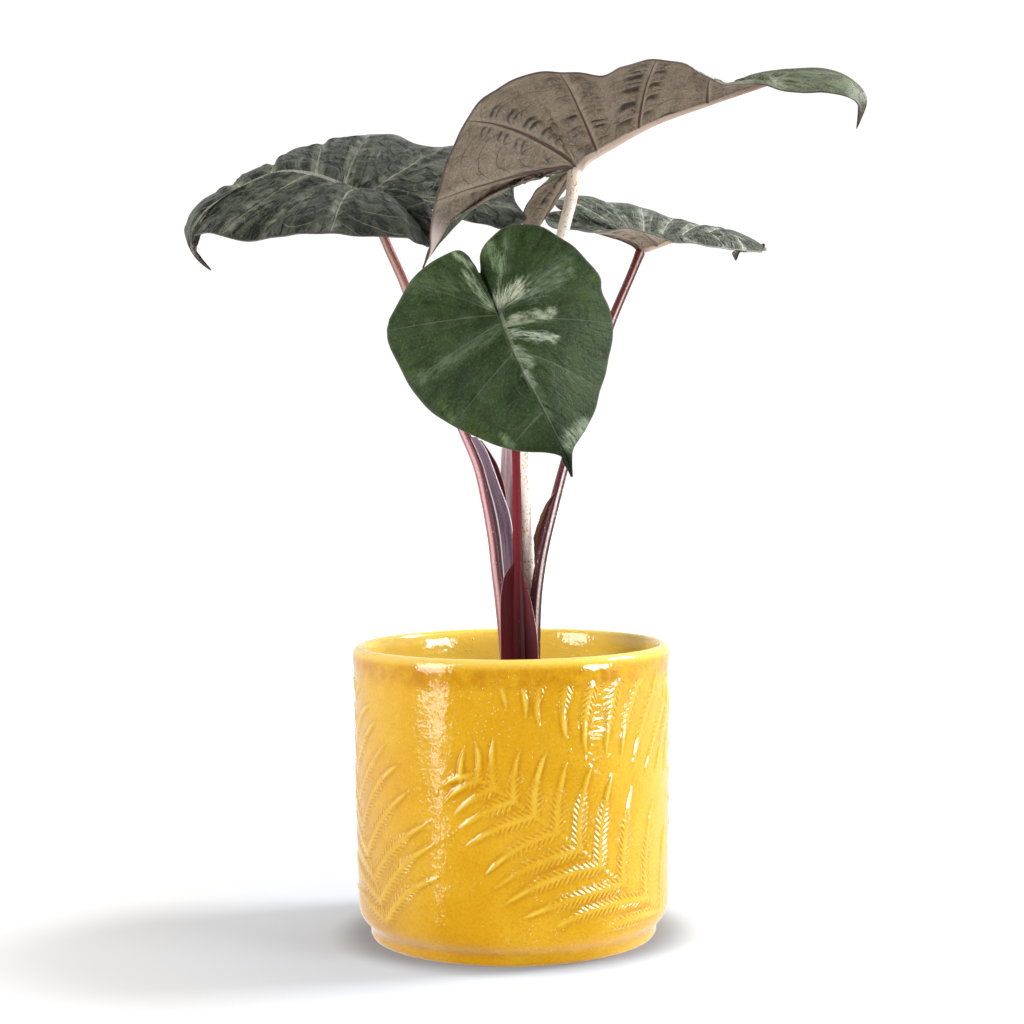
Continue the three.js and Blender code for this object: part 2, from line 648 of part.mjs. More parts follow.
// Glazed cover pot: a gently tapered wall on a low foot, with a rounded rim.
function coverPot() {
  return lathe([
    [0, 0],
    ...POT_FOOT_CURVE.map(([out, z]) => [POT_FOOT_RADIUS + out, z]),
    ...POT_LIP_CURVE.map(([out, below]) => [POT_RIM_RADIUS + out, POT_HEIGHT - below]),
    ...POT_INSIDE_CURVE.map(([out, z]) => [POT_FOOT_RADIUS + out, z]),
    [0, POT_FLOOR],
  ], POT_SEGMENTS);
}

// Thin plastic nursery pot with a rim band and drain holes, standing on the cover pot's floor.
function nurseryPot() {
  const [base, top, foot, rim, w] = [LINER_BASE, LINER_TOP, LINER_FOOT_RADIUS, LINER_TOP_RADIUS, LINER_WALL];
  const bevel = LINER_FOOT_BEVEL;
  const neck = rim - LINER_RIM_STEP;
  const band = top - LINER_RIM_DEPTH;
  let solid = toManifold(lathe([
    [0, base], [foot - bevel, base], [foot, base + bevel], [neck, band], [rim, band + 0.4], [rim, top],
    [rim - 2 * w, top], [neck - w, band - 1], [foot - w, base + 2 * w], [foot - w - bevel, base + w],
    [0, base + w],
  ], LINER_SEGMENTS));
  for (let i = 0; i < DRAIN_HOLES; i += 1) {
    const angle = (i / DRAIN_HOLES) * 2 * Math.PI;
    const drill = new THREE.CylinderGeometry(DRAIN_RADIUS, DRAIN_RADIUS, 4 * w, DRAIN_SEGMENTS);
    drill.rotateX(Math.PI / 2);
    drill.deleteAttribute('normal');
    drill.deleteAttribute('uv');
    drill.translate(DRAIN_RING_RADIUS * Math.cos(angle), DRAIN_RING_RADIUS * Math.sin(angle), base + w / 2);
    solid = solid.subtract(toManifold(mergeVertices(drill)));
  }
  return fromManifold(solid);
}

// The nursery pot's inner radius at a height, less the fit gap.
function soilRadius(z) {
  const low = [LINER_FOOT_RADIUS - LINER_WALL, LINER_BASE + 2 * LINER_WALL];
  const high = [LINER_TOP_RADIUS - LINER_RIM_STEP - LINER_WALL, LINER_TOP - LINER_RIM_DEPTH - 1];
  return low[0] + ((high[0] - low[0]) * (z - low[1])) / (high[1] - low[1]) - FIT_GAP;
}

// Soil that fills the nursery pot, with a crumbly domed top, the rootstock's bed and a plain hole
// for each stalk.
function soil() {
  const floor = LINER_BASE + LINER_WALL + FIT_GAP;
  const [shoulder, wall] = [SOIL_EDGE - 2, floor + 4];
  const geometry = lathe([
    [0, floor], [soilRadius(floor) - 3, floor], [soilRadius(wall), wall], [soilRadius(shoulder), shoulder],
    [soilRadius(SOIL_EDGE) - 1, SOIL_EDGE], ...SOIL_DOME.map(([r, above]) => [r, SOIL_TOP + above]),
  ], LINER_SEGMENTS);
  const position = geometry.getAttribute('position');
  const [a, b, c, d] = SOIL_CRUMB_WAVES;
  for (let i = 0; i < position.count; i += 1) {
    const [x, y, z] = [position.getX(i), position.getY(i), position.getZ(i)];
    const crumb = Math.sin(a * x + 2) * Math.cos(b * y) + Math.sin(c * x - d * y);
    if (z > SOIL_EDGE - 1) position.setZ(i, z + SOIL_CRUMB * crumb);
  }
  let solid = toManifold(geometry).subtract(rootstock(FIT_GAP));
  for (const { route, radii } of Object.values(STALKS)) {
    const [x, y, z] = route[0];
    const bed = [x, y, z - STEM_HOLE_OVERRUN];
    solid = solid.subtract(toManifold(stalkTube([bed, ...route.slice(1)], radii, STEM_HOLE_CLEARANCE)));
  }
  return fromManifold(largestPiece(solid).simplify(MERGE_TOLERANCE));
}

const plant = new THREE.Group();
function addPiece(name, geometry, material) {
  const mesh = new THREE.Mesh(geometry, material);
  mesh.name = name;
  plant.add(mesh);
}

addPiece('cover_pot', coverPot(), GLAZE);
addPiece('nursery_pot', nurseryPot(), NURSERY_PLASTIC);
addPiece('soil', soil(), SOIL);
addPiece('rootstock', fromManifold(rootstock().simplify(MERGE_TOLERANCE)), ROOTSTOCK);
addPiece('stalk_left', stalk(STALKS.left), PINK_STALK);
addPiece('stalk_top', stalk(STALKS.top), CREAM_STALK);
addPiece('stalk_front', stalk(STALKS.front), MAROON_STALK);
addPiece('stalk_right', stalk(STALKS.right), RED_BROWN_STALK);
addPiece('blade_left', blade(LEAF_LEFT), GREY_GREEN_LEAF);
addPiece('blade_top', blade(LEAF_TOP), BROWN_LEAF);
addPiece('blade_front', blade(LEAF_FRONT), GLOSSY_LEAF);
addPiece('blade_right', blade(LEAF_RIGHT), GREY_GREEN_LEAF);

export default plant;
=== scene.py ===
"""A potted Yucatan Princess alocasia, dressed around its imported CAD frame.

Metres, +Z up. Shapes are worked out in millimetres, as in the CAD, and scaled once when a mesh is made.
"""
import math
from types import SimpleNamespace
import bmesh
import bpy
import numpy as np
from mathutils import Matrix, Vector


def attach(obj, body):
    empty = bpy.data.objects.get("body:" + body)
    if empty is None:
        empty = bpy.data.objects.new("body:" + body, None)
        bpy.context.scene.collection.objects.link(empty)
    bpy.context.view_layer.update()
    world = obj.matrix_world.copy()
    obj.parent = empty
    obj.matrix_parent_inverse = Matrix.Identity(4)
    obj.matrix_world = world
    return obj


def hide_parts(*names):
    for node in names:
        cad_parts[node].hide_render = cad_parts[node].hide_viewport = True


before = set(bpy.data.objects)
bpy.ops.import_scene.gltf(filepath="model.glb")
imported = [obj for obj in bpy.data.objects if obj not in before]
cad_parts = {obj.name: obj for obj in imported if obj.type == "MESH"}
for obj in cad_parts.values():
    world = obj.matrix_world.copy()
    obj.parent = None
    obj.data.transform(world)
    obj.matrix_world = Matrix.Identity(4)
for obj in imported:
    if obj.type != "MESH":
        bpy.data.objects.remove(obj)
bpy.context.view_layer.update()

MM = 0.001

# The plant in millimetres, as the CAD has it. A margin row is [place along the midrib, x, y, z, crown];
# rows at 0 belong to the back lobe. Veins are margin rows, whole or part.
LEAF_LEFT = {
    "midrib": [
        [-60.5, -2, 325], [-69, -4, 328.5], [-75, -5, 331], [-85, -6, 334.5], [-98.5, -8, 335],
        [-110.5, -11, 330.5], [-122.5, -15, 323], [-129.5, -18, 317], [-134, -22, 308.5],
        [-134, -24, 300], [-126.5, -26, 291],
    ],
    "near": {
        "up": [0, -0.5, 0.85],
        "margin": [
            [0, -50.5, -3, 325, 0], [0, -39.5, -12, 321.5, 3], [0, -31, -19, 314, 4],
            [0, -31.5, -25, 305, 5], [0, -33.5, -29, 300, 7], [0, -41, -47, 302, 7],
            [0.01, -54.5, -53, 302.5, 6], [0.05, -69, -55, 303, 5], [0.11, -87, -52.5, 303.5, 4],
            [0.17, -101.5, -45, 302.5, 4], [0.22, -110, -40, 302, 3], [0.3, -120, -37.5, 305, 2],
            [0.42, -129.5, -30.5, 306.5, 1], [0.6, -134.4, -23, 305, 0], [0.8, -133, -26, 298, 0],
            [1, -126.5, -26, 291, 0],
        ],
        "veins": [3.6, 7.2, 9, 11, 12.2],
    },
    "far": {
        "up": [0, -0.2, 1],
        "margin": [
            [0, -51, 0, 325.5, 0], [0, -30.5, 8, 318.5, 1], [0, -13.5, 18, 315, 2],
            [0, -0.5, 26, 313, 2], [0, 9, 33, 318, 2], [0, 4, 38, 326, 2], [0, 2, 43, 339, 2],
            [0, -14, 49, 351.5, 2], [0, -36, 54, 354.5, 2], [0.06, -51, 56, 359.5, 3],
            [0.14, -67, 56, 360, 3], [0.27, -82.5, 54, 356.5, 3], [0.37, -98.5, 48, 349.5, 3],
            [0.44, -108, 42, 342.5, 2], [0.52, -122.5, 33, 335, 1], [0.6, -131, 22, 329, 1],
            [0.69, -137.5, 8, 321, 0.5], [0.78, -139.5, -10, 310.5, 0], [0.85, -137, -20, 303, 0],
            [0.92, -133, -24, 296.5, 0], [1, -126.5, -26, 291, 0],
        ],
        "veins": [4.6, 7.6, 9.8, 11.1, 12.8, 14.2],
    },
}
LEAF_TOP = {
    "midrib": [
        [30.5, 5, 338.5], [42.5, 4, 345.5], [64.5, 2, 357], [88, 0, 365], [105, -3, 370],
        [121.5, -6, 374.5], [134.5, -9, 375], [146, -12, 373], [152, -14, 367], [153, -15, 360],
        [151.5, -15, 350],
    ],
    "near": {
        "up": [-0.2, 0.5, 0.85],
        "margin": [
            [0, 9.5, 2, 332, 0], [0, -3, -12, 324.5, 1], [0, -20.5, -26, 313, 3],
            [0, -29.5, -33, 305, 5], [0, -35.5, -38, 290, 10.5], [0, -32.5, -40, 301, 8],
            [0, -30, -41, 318, 2.5], [0, -20.5, -54, 341.5, 5], [0, -9, -58, 357.5, 7],
            [0, 7, -62, 365.5, 6], [0.09, 24, -64, 367, 6], [0.115, 39, -64, 365, 5],
            [0.14, 48, -61.5, 369.5, 5], [0.16, 58.5, -58, 372, 4], [0.225, 74, -54.5, 371.5, 2.5],
            [0.32, 88, -43.5, 366, 1], [0.42, 104.5, -31, 367, 1.5], [0.55, 124, -27.5, 364, 1],
            [0.68, 135.5, -26.5, 364, 1.5], [0.8, 146, -25.5, 362, 1], [0.9, 151.5, -20, 358.5, 0.3],
            [1, 151.5, -15, 350, 0],
        ],
        "veins": [6, 7.4, 9.9, 13.24, 14.8, 16.5],
    },
    "far": {
        "up": [0.1, -0.1, 1],
        "margin": [
            [0, 24, 7, 334.5, 0], [0, 14, 18, 329.5, 0.5], [0, 8, 34, 322.5, 1], [0, 8, 44, 315.5, 1],
            [0, 15, 50, 317.5, 1.5], [0, 30, 62, 339, 2], [0.02, 41, 72, 351, 2], [0.1, 50.5, 76, 357, 1.5],
            [0.22, 64, 72, 367, 0.5], [0.35, 83, 62, 374, 0], [0.48, 100.5, 50, 380, 0],
            [0.6, 114, 34, 383, 0.5], [0.7, 128.5, 12, 381, 1], [0.79, 140.5, 2, 379, 1],
            [0.88, 150.5, -6, 373, 0.5], [0.93, 156.5, -10, 363.5, 0.3], [1, 151.5, -15, 350, 0],
        ],
        "veins": [4, 5.6, 7.1, 8.5, 10, 11.5],
    },
}
LEAF_FRONT = {
    "midrib": [
        [-3.5, -52, 269.5], [-0.5, -57, 260.5], [5, -62, 247.5], [12, -66, 234], [18.5, -67, 221],
        [23, -66, 211.5], [26, -63, 202],
    ],
    "near": {
        "up": [0.1, -0.9, 0.35],
        "margin": [
            [0, -11, -46, 287, 0], [0, -11, -44, 295, 1], [0, -7, -42, 302, 2], [0, 0.5, -40, 307, 3],
            [0, 13, -38, 307.5, 4], [0, 23.5, -38, 302, 5], [0, 32, -38, 294.5, 5],
            [0, 39, -38, 286, 5], [0, 40.1, -38.5, 279, 5.5], [0.1, 44.3, -40.5, 264.5, 6],
            [0.2, 41.2, -45, 248, 6],
            [0.34, 35.5, -54, 229, 5], [0.58, 28.5, -62, 217, 2], [0.8, 26, -65, 211.5, 0.5],
            [1, 26, -63, 202, 0],
        ],
        "veins": [3.1, 5.6, 8.9, 10.5, 12],
    },
    "far": {
        "up": [-0.1, -0.9, 0.35],
        "margin": [
            [0, -11, -46, 287, 0], [0, -14, -49, 289.5, 0.5], [0, -16.5, -50, 294, 0.5],
            [0, -21.5, -51, 296, 1], [0, -32.5, -50, 290.5, 1.5], [0, -41.5, -47, 282, 2],
            [0.01, -50.3, -44, 264.5, 2.5], [0.05, -46, -45, 250, 2.5], [0.12, -35, -49, 232.5, 2.5],
            [0.31, -19.5, -55, 222, 2], [0.56, 0, -61, 214, 1.5], [0.8, 19.5, -66, 211.5, 0.5],
            [0.9, 22, -66, 208.5, 0.3], [1, 26, -63, 202, 0],
        ],
        "veins": [2.6, 4.85, 6.05, 7.5, 8.8, 10],
    },
}
LEAF_RIGHT = {
    "midrib": [
        [64, 72, 308], [71, 72, 310], [77.5, 71, 312], [86, 70, 313.5], [94, 69, 314],
        [102.5, 68, 314], [112, 67, 311.5], [121, 66, 308], [118, 63, 305], [110.5, 60, 306],
        [107, 58, 300],
    ],
    "near": {
        "up": [0, -0.3, 1],
        "margin": [
            [0, 57.5, 70, 313.5, 0], [0, 44, 65, 320, 1], [0, 30, 60, 324, 2], [0, 20, 57, 323.5, 2],
            [0, 18, 54, 320, 2], [0, 21, 50, 317, 2], [0, 30.5, 45, 314.5, 2], [0, 40.5, 40, 312.5, 2],
            [0.02, 49, 34, 313, 1], [0.07, 58, 30, 312.5, 0], [0.13, 66, 28, 310.5, 0],
            [0.2, 75.5, 28, 307, 1], [0.3, 89.5, 31, 305, 2], [0.42, 102, 37, 304, 2],
            [0.55, 110.5, 47, 304, 2], [0.66, 119, 55, 304, 1], [0.8, 114, 58.5, 304.8, 0],
            [0.9, 109.3, 59, 304.3, 0], [1, 107, 58, 300, 0],
        ],
        "veins": [5, 7, 9.5, 11.6, 12.8, 13.9],
    },
    "far": {
        "up": [0, -0.3, 1],
        "margin": [
            [0, 58, 74, 313.5, 0], [0, 47, 84, 320.5, 1], [0, 33.5, 92, 325.5, 2], [0, 24, 99, 331, 2],
            [0, 27.5, 108, 337, 2], [0, 39, 114, 338, 2], [0, 49.5, 118, 335.5, 2],
            [0.01, 62, 121, 334, 2], [0.06, 74.5, 122, 330.5, 2], [0.14, 85.5, 120, 326.5, 2],
            [0.26, 98.5, 113, 321, 2], [0.38, 108, 101, 317.5, 2], [0.48, 115.5, 87, 313.5, 1.5],
            [0.56, 121, 76, 309.5, 1], [0.66, 122.5, 68, 306, 0.5], [0.8, 113.5, 61, 305, 0],
            [0.9, 105.8, 59, 304.3, 0], [1, 107, 58, 300, 0],
        ],
        "veins": [4, 5.8, 7.4, 8.8, 10, 11.2],
    },
}

# Camera, fitted to the cover pot's rim and foot in the photo.
CAMERA_PLACE = (1.35, -877.0, 219.0)
CAMERA_PITCH = math.radians(2.17)
CAMERA_ROLL = math.radians(0.57)
FOCAL_PIXELS = 1989.0
PHOTO_PIXELS = 1024
SENSOR = 36.0

# Meshes


def make_mesh(name, points, face_groups, materials, face_materials=None, attributes=None):
    """A smooth mesh from millimetre points and arrays of triangles or quads.

    Attributes are arrays of one number or three numbers for each point.
    """
    mesh = bpy.data.meshes.new(name)
    points = np.asarray(points, dtype=np.float32) * MM
    sizes = np.concatenate([np.full(len(g), g.shape[1]) for g in face_groups])
    corners = np.concatenate([np.asarray(g, dtype=np.int32).ravel() for g in face_groups])
    mesh.vertices.add(len(points))
    mesh.vertices.foreach_set("co", points.ravel())
    mesh.loops.add(len(corners))
    mesh.loops.foreach_set("vertex_index", corners)
    mesh.polygons.add(len(sizes))
    mesh.polygons.foreach_set("loop_start", np.concatenate([[0], np.cumsum(sizes)[:-1]]).astype(np.int32))
    for material in materials:
        mesh.materials.append(material)
    if face_materials is not None:
        mesh.polygons.foreach_set("material_index", np.asarray(face_materials, dtype=np.int32))
    mesh.polygons.foreach_set("use_smooth", np.ones(len(sizes), dtype=bool))
    for key, values in (attributes or {}).items():
        values = np.asarray(values, dtype=np.float32)
        kind = "FLOAT" if values.ndim == 1 else "FLOAT_VECTOR"
        layer = mesh.attributes.new(key, kind, "POINT")
        layer.data.foreach_set("value" if values.ndim == 1 else "vector", values.ravel())
    mesh.update(calc_edges=True)
    mesh.validate()
    piece = bpy.data.objects.new(name, mesh)
    bpy.context.scene.collection.objects.link(piece)
    return piece


def centripetal(points, per_segment):
    """A centripetal Catmull-Rom curve through points, as the CAD's stalk routes are."""
    p = np.asarray(points, dtype=float)
    p = np.vstack([2 * p[0] - p[1], p, 2 * p[-1] - p[-2]])
    gaps = np.sqrt(np.linalg.norm(np.diff(p, axis=0), axis=1))
    t = np.linspace(0, 1, per_segment, endpoint=False)[:, None]
    runs = []
    for i in range(1, len(p) - 2):
        d0, d1, d2 = gaps[i - 1], gaps[i], gaps[i + 1]
        a, b, c, d = p[i - 1], p[i], p[i + 1], p[i + 2]
        t1 = ((b - a) / d0 - (c - a) / (d0 + d1) + (c - b) / d1) * d1
        t2 = ((c - b) / d1 - (d - b) / (d1 + d2) + (d - c) / d2) * d1
        runs.append(b + t1 * t + (3 * c - 3 * b - 2 * t1 - t2) * t**2 + (2 * b - 2 * c + t1 + t2) * t**3)
    return np.vstack(runs + [p[-2:-1]])


def resample(line, count):
    """The same line with evenly spaced points."""
    steps = np.concatenate([[0], np.cumsum(np.linalg.norm(np.diff(line, axis=0), axis=1))])
    at = np.linspace(0, steps[-1], count)
    return np.stack([np.interp(at, steps, line[:, k]) for k in range(line.shape[1])], -1), at


def along(rows, u):
    """Points read off a row list as an even Catmull-Rom curve, at each u from 0 to the last row."""
    rows = np.asarray(rows, dtype=float)
    rows = rows.reshape(len(rows), -1)
    padded = np.vstack([2 * rows[0] - rows[1], rows, 2 * rows[-1] - rows[-2]])
    u = np.atleast_1d(np.asarray(u, dtype=float))
    i = np.clip(np.floor(u).astype(int), 0, len(rows) - 2)
    t = (u - i)[:, None]
    a, b, c, d = padded[i], padded[i + 1], padded[i + 2], padded[i + 3]
    v0 = (c - a) / 2
    v1 = (d - b) / 2
    return (2 * b - 2 * c + v0 + v1) * t**3 + (3 * c - 3 * b - 2 * v0 - v1) * t**2 + v0 * t + b


def unit(v):
    return v / (np.linalg.norm(v, axis=-1, keepdims=True) + 1e-12)


def smoothstep(low, high, x):
    t = np.clip((x - low) / (high - low), 0, 1)
    return t * t * (3 - 2 * t)


def corner_normals(points, triangles):
    """Vertex normals from the triangles round each point."""
    a, b, c = points[triangles[:, 0]], points[triangles[:, 1]], points[triangles[:, 2]]
    face = np.cross(b - a, c - a)
    normals = np.zeros_like(points)
    for k in range(3):
        np.add.at(normals, triangles[:, k], face)
    return unit(normals)


def mesh_noise(points, scale, seed=0.0):
    """Cheap smooth noise from three turned sine waves, about -1 to 1."""
    p = points / scale
    x, y, z = p[..., 0] + seed, p[..., 1] + 1.7 * seed, p[..., 2] - 0.6 * seed
    total = np.sin(x + 1.3 * np.sin(0.9 * y + 0.4 * z)) * np.cos(1.1 * y + 0.7 * np.sin(0.8 * z - x))
    return 0.6 * total + 0.4 * np.sin(2.1 * z + 1.7 * x - 1.2 * y + seed)


# Leaf blades

BLADE_COLUMNS = 54
COLUMN_CROWDING = 1.15
LOBE_ROW_STEPS = 9
STATION_STEPS = 96
STATION_TABLE = 3000
ROW_LEAST = 0.02
STATION_LEAST = 0.0016
VEIN_OFFSETS = (-1.5, -0.9, -0.45, 0.0, 0.45, 0.9, 1.5)
PILLOW_WANDER = 1.4
PILLOW_WAVE = 0.5
PILLOW_TURN = 2.1
GAP_MOST = 24.0
GAP_LIMITS = (0.05, 60)
# How far round the junction the blade lies flat on its stalk: where it starts and is full.
JUNCTION_CALM = (5.5, 1.5)
JUNCTION_REACH = 6
KNOT_REACH = 3.4
RIB_GROOVE = 0.35
VEIN_GROOVE = 0.25
RIM_BULGE = 0.4
BLADE_KEYS = ("q", "w", "r", "gap", "at")


def lobe_end(margin):
    last = 0
    while margin[last + 1][0] == 0:
        last += 1
    return last


def row_of_station(margin, stations):
    """The margin row that meets the midrib at each station."""
    table_u = np.linspace(lobe_end(margin), len(margin) - 1, STATION_TABLE)
    table_at = np.maximum.accumulate(np.clip(along(margin, table_u)[:, 0], 0, 1))
    return np.interp(stations, table_at + np.linspace(0, 1e-7, STATION_TABLE), table_u)


def blade_rows(leaf):
    """Lobe rows of each side, and the stations along the midrib that both sides share."""
    length = np.linalg.norm(np.diff(np.asarray(leaf["midrib"], float), axis=0), axis=1).sum()
    stations = set(np.linspace(0, 1, STATION_STEPS + 1))
    lobes = {}
    for side in ("near", "far"):
        margin = leaf[side]["margin"]
        end = lobe_end(margin)
        rows = set(np.linspace(0, end, end * LOBE_ROW_STEPS + 1)[:-1])
        for vein in leaf[side]["veins"]:
            if vein < end:
                step = np.linalg.norm(along(margin, vein + 0.5)[0, 1:4] - along(margin, vein - 0.5)[0, 1:4])
                rows |= {vein + o / max(step, 2) for o in VEIN_OFFSETS if 0 < vein + o / max(step, 2) < end}
            else:
                at = along(margin, vein)[0, 0]
                stations |= {at + o / length for o in VEIN_OFFSETS if 0 < at + o / length < 1}
        lobes[side] = thin_out(rows, ROW_LEAST)
    return lobes, thin_out(stations, STATION_LEAST)


def thin_out(values, least):
    """The values in order, without those less than the least step after the one before."""
    kept = []
    for value in sorted(values):
        if not kept or value - kept[-1] >= least:
            kept.append(value)
    kept[-1] = max(values)
    return np.array(kept)


def vein_coordinate(half, u):
    """A coordinate of each margin row that is a whole number on each side vein."""
    veins = np.asarray(half["veins"], float)
    last = len(half["margin"]) - 1
    knots = np.concatenate([[min(-0.001, 2 * veins[0] - veins[1])], veins, [last + 1.5]])
    values = np.arange(-1, len(veins) + 1, dtype=float)
    return np.interp(u, knots, values)


def half_blade(leaf, side, lobe, stations, look):
    """One side of a blade as grids, of rows from its lobe to its tip and columns out from the midrib.

    w is the share of the way out, r the distance, at the place along the midrib, run the distance round
    the margin, q the vein coordinate and gap the distance between the veins.
    """
    half = leaf[side]
    margin = half["margin"]
    u = np.concatenate([lobe, row_of_station(margin, stations)])
    at = np.concatenate([np.zeros(len(lobe)), stations])
    rows = along(margin, u)
    start = along(leaf["midrib"], at * (len(leaf["midrib"]) - 1))
    run = np.concatenate([[0], np.cumsum(np.linalg.norm(np.diff(rows[:, 1:4], axis=0), axis=1))])
    line = rows[:, 1:4] - start
    line[-1] = 0
    reach = np.linalg.norm(line, axis=1)
    ray = unit(line)
    upper = unit(np.asarray(half["up"], float))
    lift = unit(upper - (ray @ upper)[:, None] * ray)
    w = np.linspace(0, 1, BLADE_COLUMNS + 1) ** COLUMN_CROWDING
    skewed = w**look.skew
    swell = 4 * skewed * (1 - skewed)
    points = start[:, None] + line[:, None] * w[None, :, None]
    points = points + (rows[:, 4:5] * swell)[:, :, None] * lift[:, None]
    q = vein_coordinate(half, u)
    per_row = np.abs(np.gradient(q)) + 1e-6
    spread = np.linalg.norm(np.gradient(rows[:, 1:4], axis=0), axis=1) / per_row
    spread = np.clip(spread, 1, GAP_LIMITS[1])
    base_gap = np.where(at > 0, np.linalg.norm(np.gradient(start, axis=0), axis=1) / per_row, 0)
    gap = base_gap[:, None] * (1 - w) + spread[:, None] * w
    return {
        "points": points, "q": np.repeat(q[:, None], len(w), 1), "w": np.repeat(w[None], len(u), 0),
        "r": reach[:, None] * w, "gap": np.clip(gap, *GAP_LIMITS),
        "at": np.repeat(at[:, None], len(w), 1), "run": np.repeat(run[:, None], len(w), 1),
    }


def quilting(half, look):
    """How far the blade swells between its veins, in millimetres, up on its upper side."""
    q, w, r = half["q"], half["w"], half["r"]
    f = q - np.floor(q)
    gap = np.clip(half["gap"], 0, GAP_MOST)
    between = np.sin(math.pi * f)
    fade = smoothstep(0, 0.1, w) * smoothstep(1.0, 0.82, w)
    broad = look.quilt * between**0.75 * fade * np.clip(gap / 12, 0, 1)
    phase = (r - look.veinlet_slant * gap * 0.5 * (1 - (2 * f - 1) ** 2)) / look.veinlet_pitch
    cells = np.abs(np.sin(math.pi * phase)) ** 0.8 * between**0.5
    fine = look.veinlet_depth * cells * fade * np.clip(gap / 10, 0, 1)
    vein = np.round(q)
    from_vein = np.abs(q - vein) * half["gap"]
    moved = r + PILLOW_WANDER * np.sin(PILLOW_WAVE * r + PILLOW_TURN * vein)
    beat = (0.5 + 0.5 * np.cos(2 * math.pi * moved / look.pillow_pitch)) ** 1.2
    low, high = look.pillow_reach
    band = smoothstep(0.8, 2.8, from_vein) * smoothstep(high, low, from_vein)
    pillow = look.pillow * beat * band * fade * np.clip(gap / 12, 0, 1)
    ruffle = look.ruffle * w**4 * np.sin(half["run"] / 3.1 + look.seed) * np.sin(half["run"] / 11)
    return broad + fine + pillow + ruffle


def blade_sheet(leaf, look):
    """Both sides of a blade in one sheet: its points, their data and its triangles."""
    lobes, stations = blade_rows(leaf)
    halves = {side: half_blade(leaf, side, lobes[side], stations, look) for side in ("near", "far")}
    near, far = halves["near"], halves["far"]
    fused = np.allclose(near["points"][0, -1], far["points"][0, -1], atol=0.01)

    points, data = [], {key: [] for key in (*BLADE_KEYS, "side", "rise")}
    columns = near["w"].shape[1]

    def add(half, row, col, side, rise):
        points.append(half["points"][row, col])
        for key in BLADE_KEYS:
            data[key].append(half[key][row, col])
        data["side"].append(side)
        data["rise"].append(rise[row, col])
        return len(points) - 1

    spine = None
    index = {}
    for number, side in enumerate(("near", "far")):
        half = halves[side]
        rise = quilting(half, look)
        rows = half["w"].shape[0]
        lobe_rows = rows - len(stations)
        if spine is None:
            spine = [add(half, lobe_rows + k, 0, 0.0, rise * 0) for k in range(len(stations))]
        grid = np.zeros((rows, columns), dtype=int)
        for row in range(rows):
            grid[row, 0] = spine[max(row - lobe_rows, 0)]
            if row == rows - 1:
                grid[row, :] = spine[-1]
                continue
            if row == 0 and side == "far" and fused:
                grid[row] = index["near"][0]
                continue
            if row == 0 and fused:
                rise[0] = 0
            for col in range(1, columns):
                grid[row, col] = add(half, row, col, float(number), rise)
        index[side] = grid
    points = np.array(points)
    data = {key: np.array(values) for key, values in data.items()}

    triangles = []
    for side in ("near", "far"):
        g = index[side]
        a, b, c, d = g[:-1, :-1], g[1:, :-1], g[1:, 1:], g[:-1, 1:]
        first = np.stack([a, b, c], -1).reshape(-1, 3)
        second = np.stack([a, c, d], -1).reshape(-1, 3)
        both = np.vstack([first, second])
        triangles.append(both if side == "near" else both[:, ::-1])
    triangles = np.vstack(triangles)
    empty = (triangles[:, 0] == triangles[:, 1]) | (triangles[:, 1] == triangles[:, 2])
    empty |= triangles[:, 0] == triangles[:, 2]
    return points, data, triangles[~empty]


def swell_sheet(leaf, look, points, data, triangles):
    """The sheet quilted and crumpled: its points, triangles, normals and distances from the junction."""
    normals = corner_normals(points, triangles)
    upper = unit(np.asarray(leaf["near"]["up"], float) + np.asarray(leaf["far"]["up"], float))
    if (normals @ upper).sum() < 0:
        triangles = triangles[:, ::-1]
        normals = -normals
    crumple = look.crumple * mesh_noise(points, 7.0, look.seed) * smoothstep(0, 0.3, data["w"])
    top = points + normals * ((data["rise"] + crumple) * smoothstep(*look.calm, data["at"]))[:, None]
    head = np.linalg.norm(top - np.asarray(leaf["midrib"][0], float), axis=1)
    normals = corner_normals(top, triangles)
    mean = unit(normals[head < JUNCTION_REACH].sum(0))
    calm = smoothstep(*JUNCTION_CALM, head)[:, None]
    return top, triangles, unit(normals * (1 - calm) + mean * calm), head


def thicken(look, top, normals, head, data):
    """The blade's two faces: grooves on the upper one, and raised veins and midrib on the under one."""
    f = np.abs(data["q"] - np.round(data["q"]))
    from_vein = f * data["gap"]
    vein_width = look.vein_width * (1 - 0.65 * data["w"])
    on_vein = np.clip(1 - (from_vein / vein_width) ** 2, 0, 1) ** 0.5 * smoothstep(1.0, 0.9, data["w"])
    rib_width = look.midrib_width * (1 - 0.8 * data["at"])
    on_rib = np.clip(1 - (data["r"] / rib_width) ** 2, 0, 1) ** 0.5
    groove = VEIN_GROOVE * on_vein * smoothstep(0, 0.05, data["w"]) + RIB_GROOVE * on_rib
    top = top - normals * groove[:, None]
    rib_height = look.midrib_height * (1 - 0.85 * data["at"])
    slim = 1 - 0.6 * smoothstep(0.9, 1.0, data["at"])
    knot = look.knot * np.exp(-(head / KNOT_REACH) ** 2)
    raised = np.maximum(rib_height * on_rib, look.vein_height * on_vein * (1 - 0.6 * data["w"]))
    thick = (look.thickness + raised + knot) * slim
    return top, top - normals * thick[:, None]


def open_edges(triangles):
    """The sheet's edges that only one triangle has, in the triangles' order."""
    edges = {}
    for t in triangles:
        for p, q in ((t[0], t[1]), (t[1], t[2]), (t[2], t[0])):
            if (q, p) in edges:
                del edges[(q, p)]
            else:
                edges[(p, q)] = True
    return list(edges)


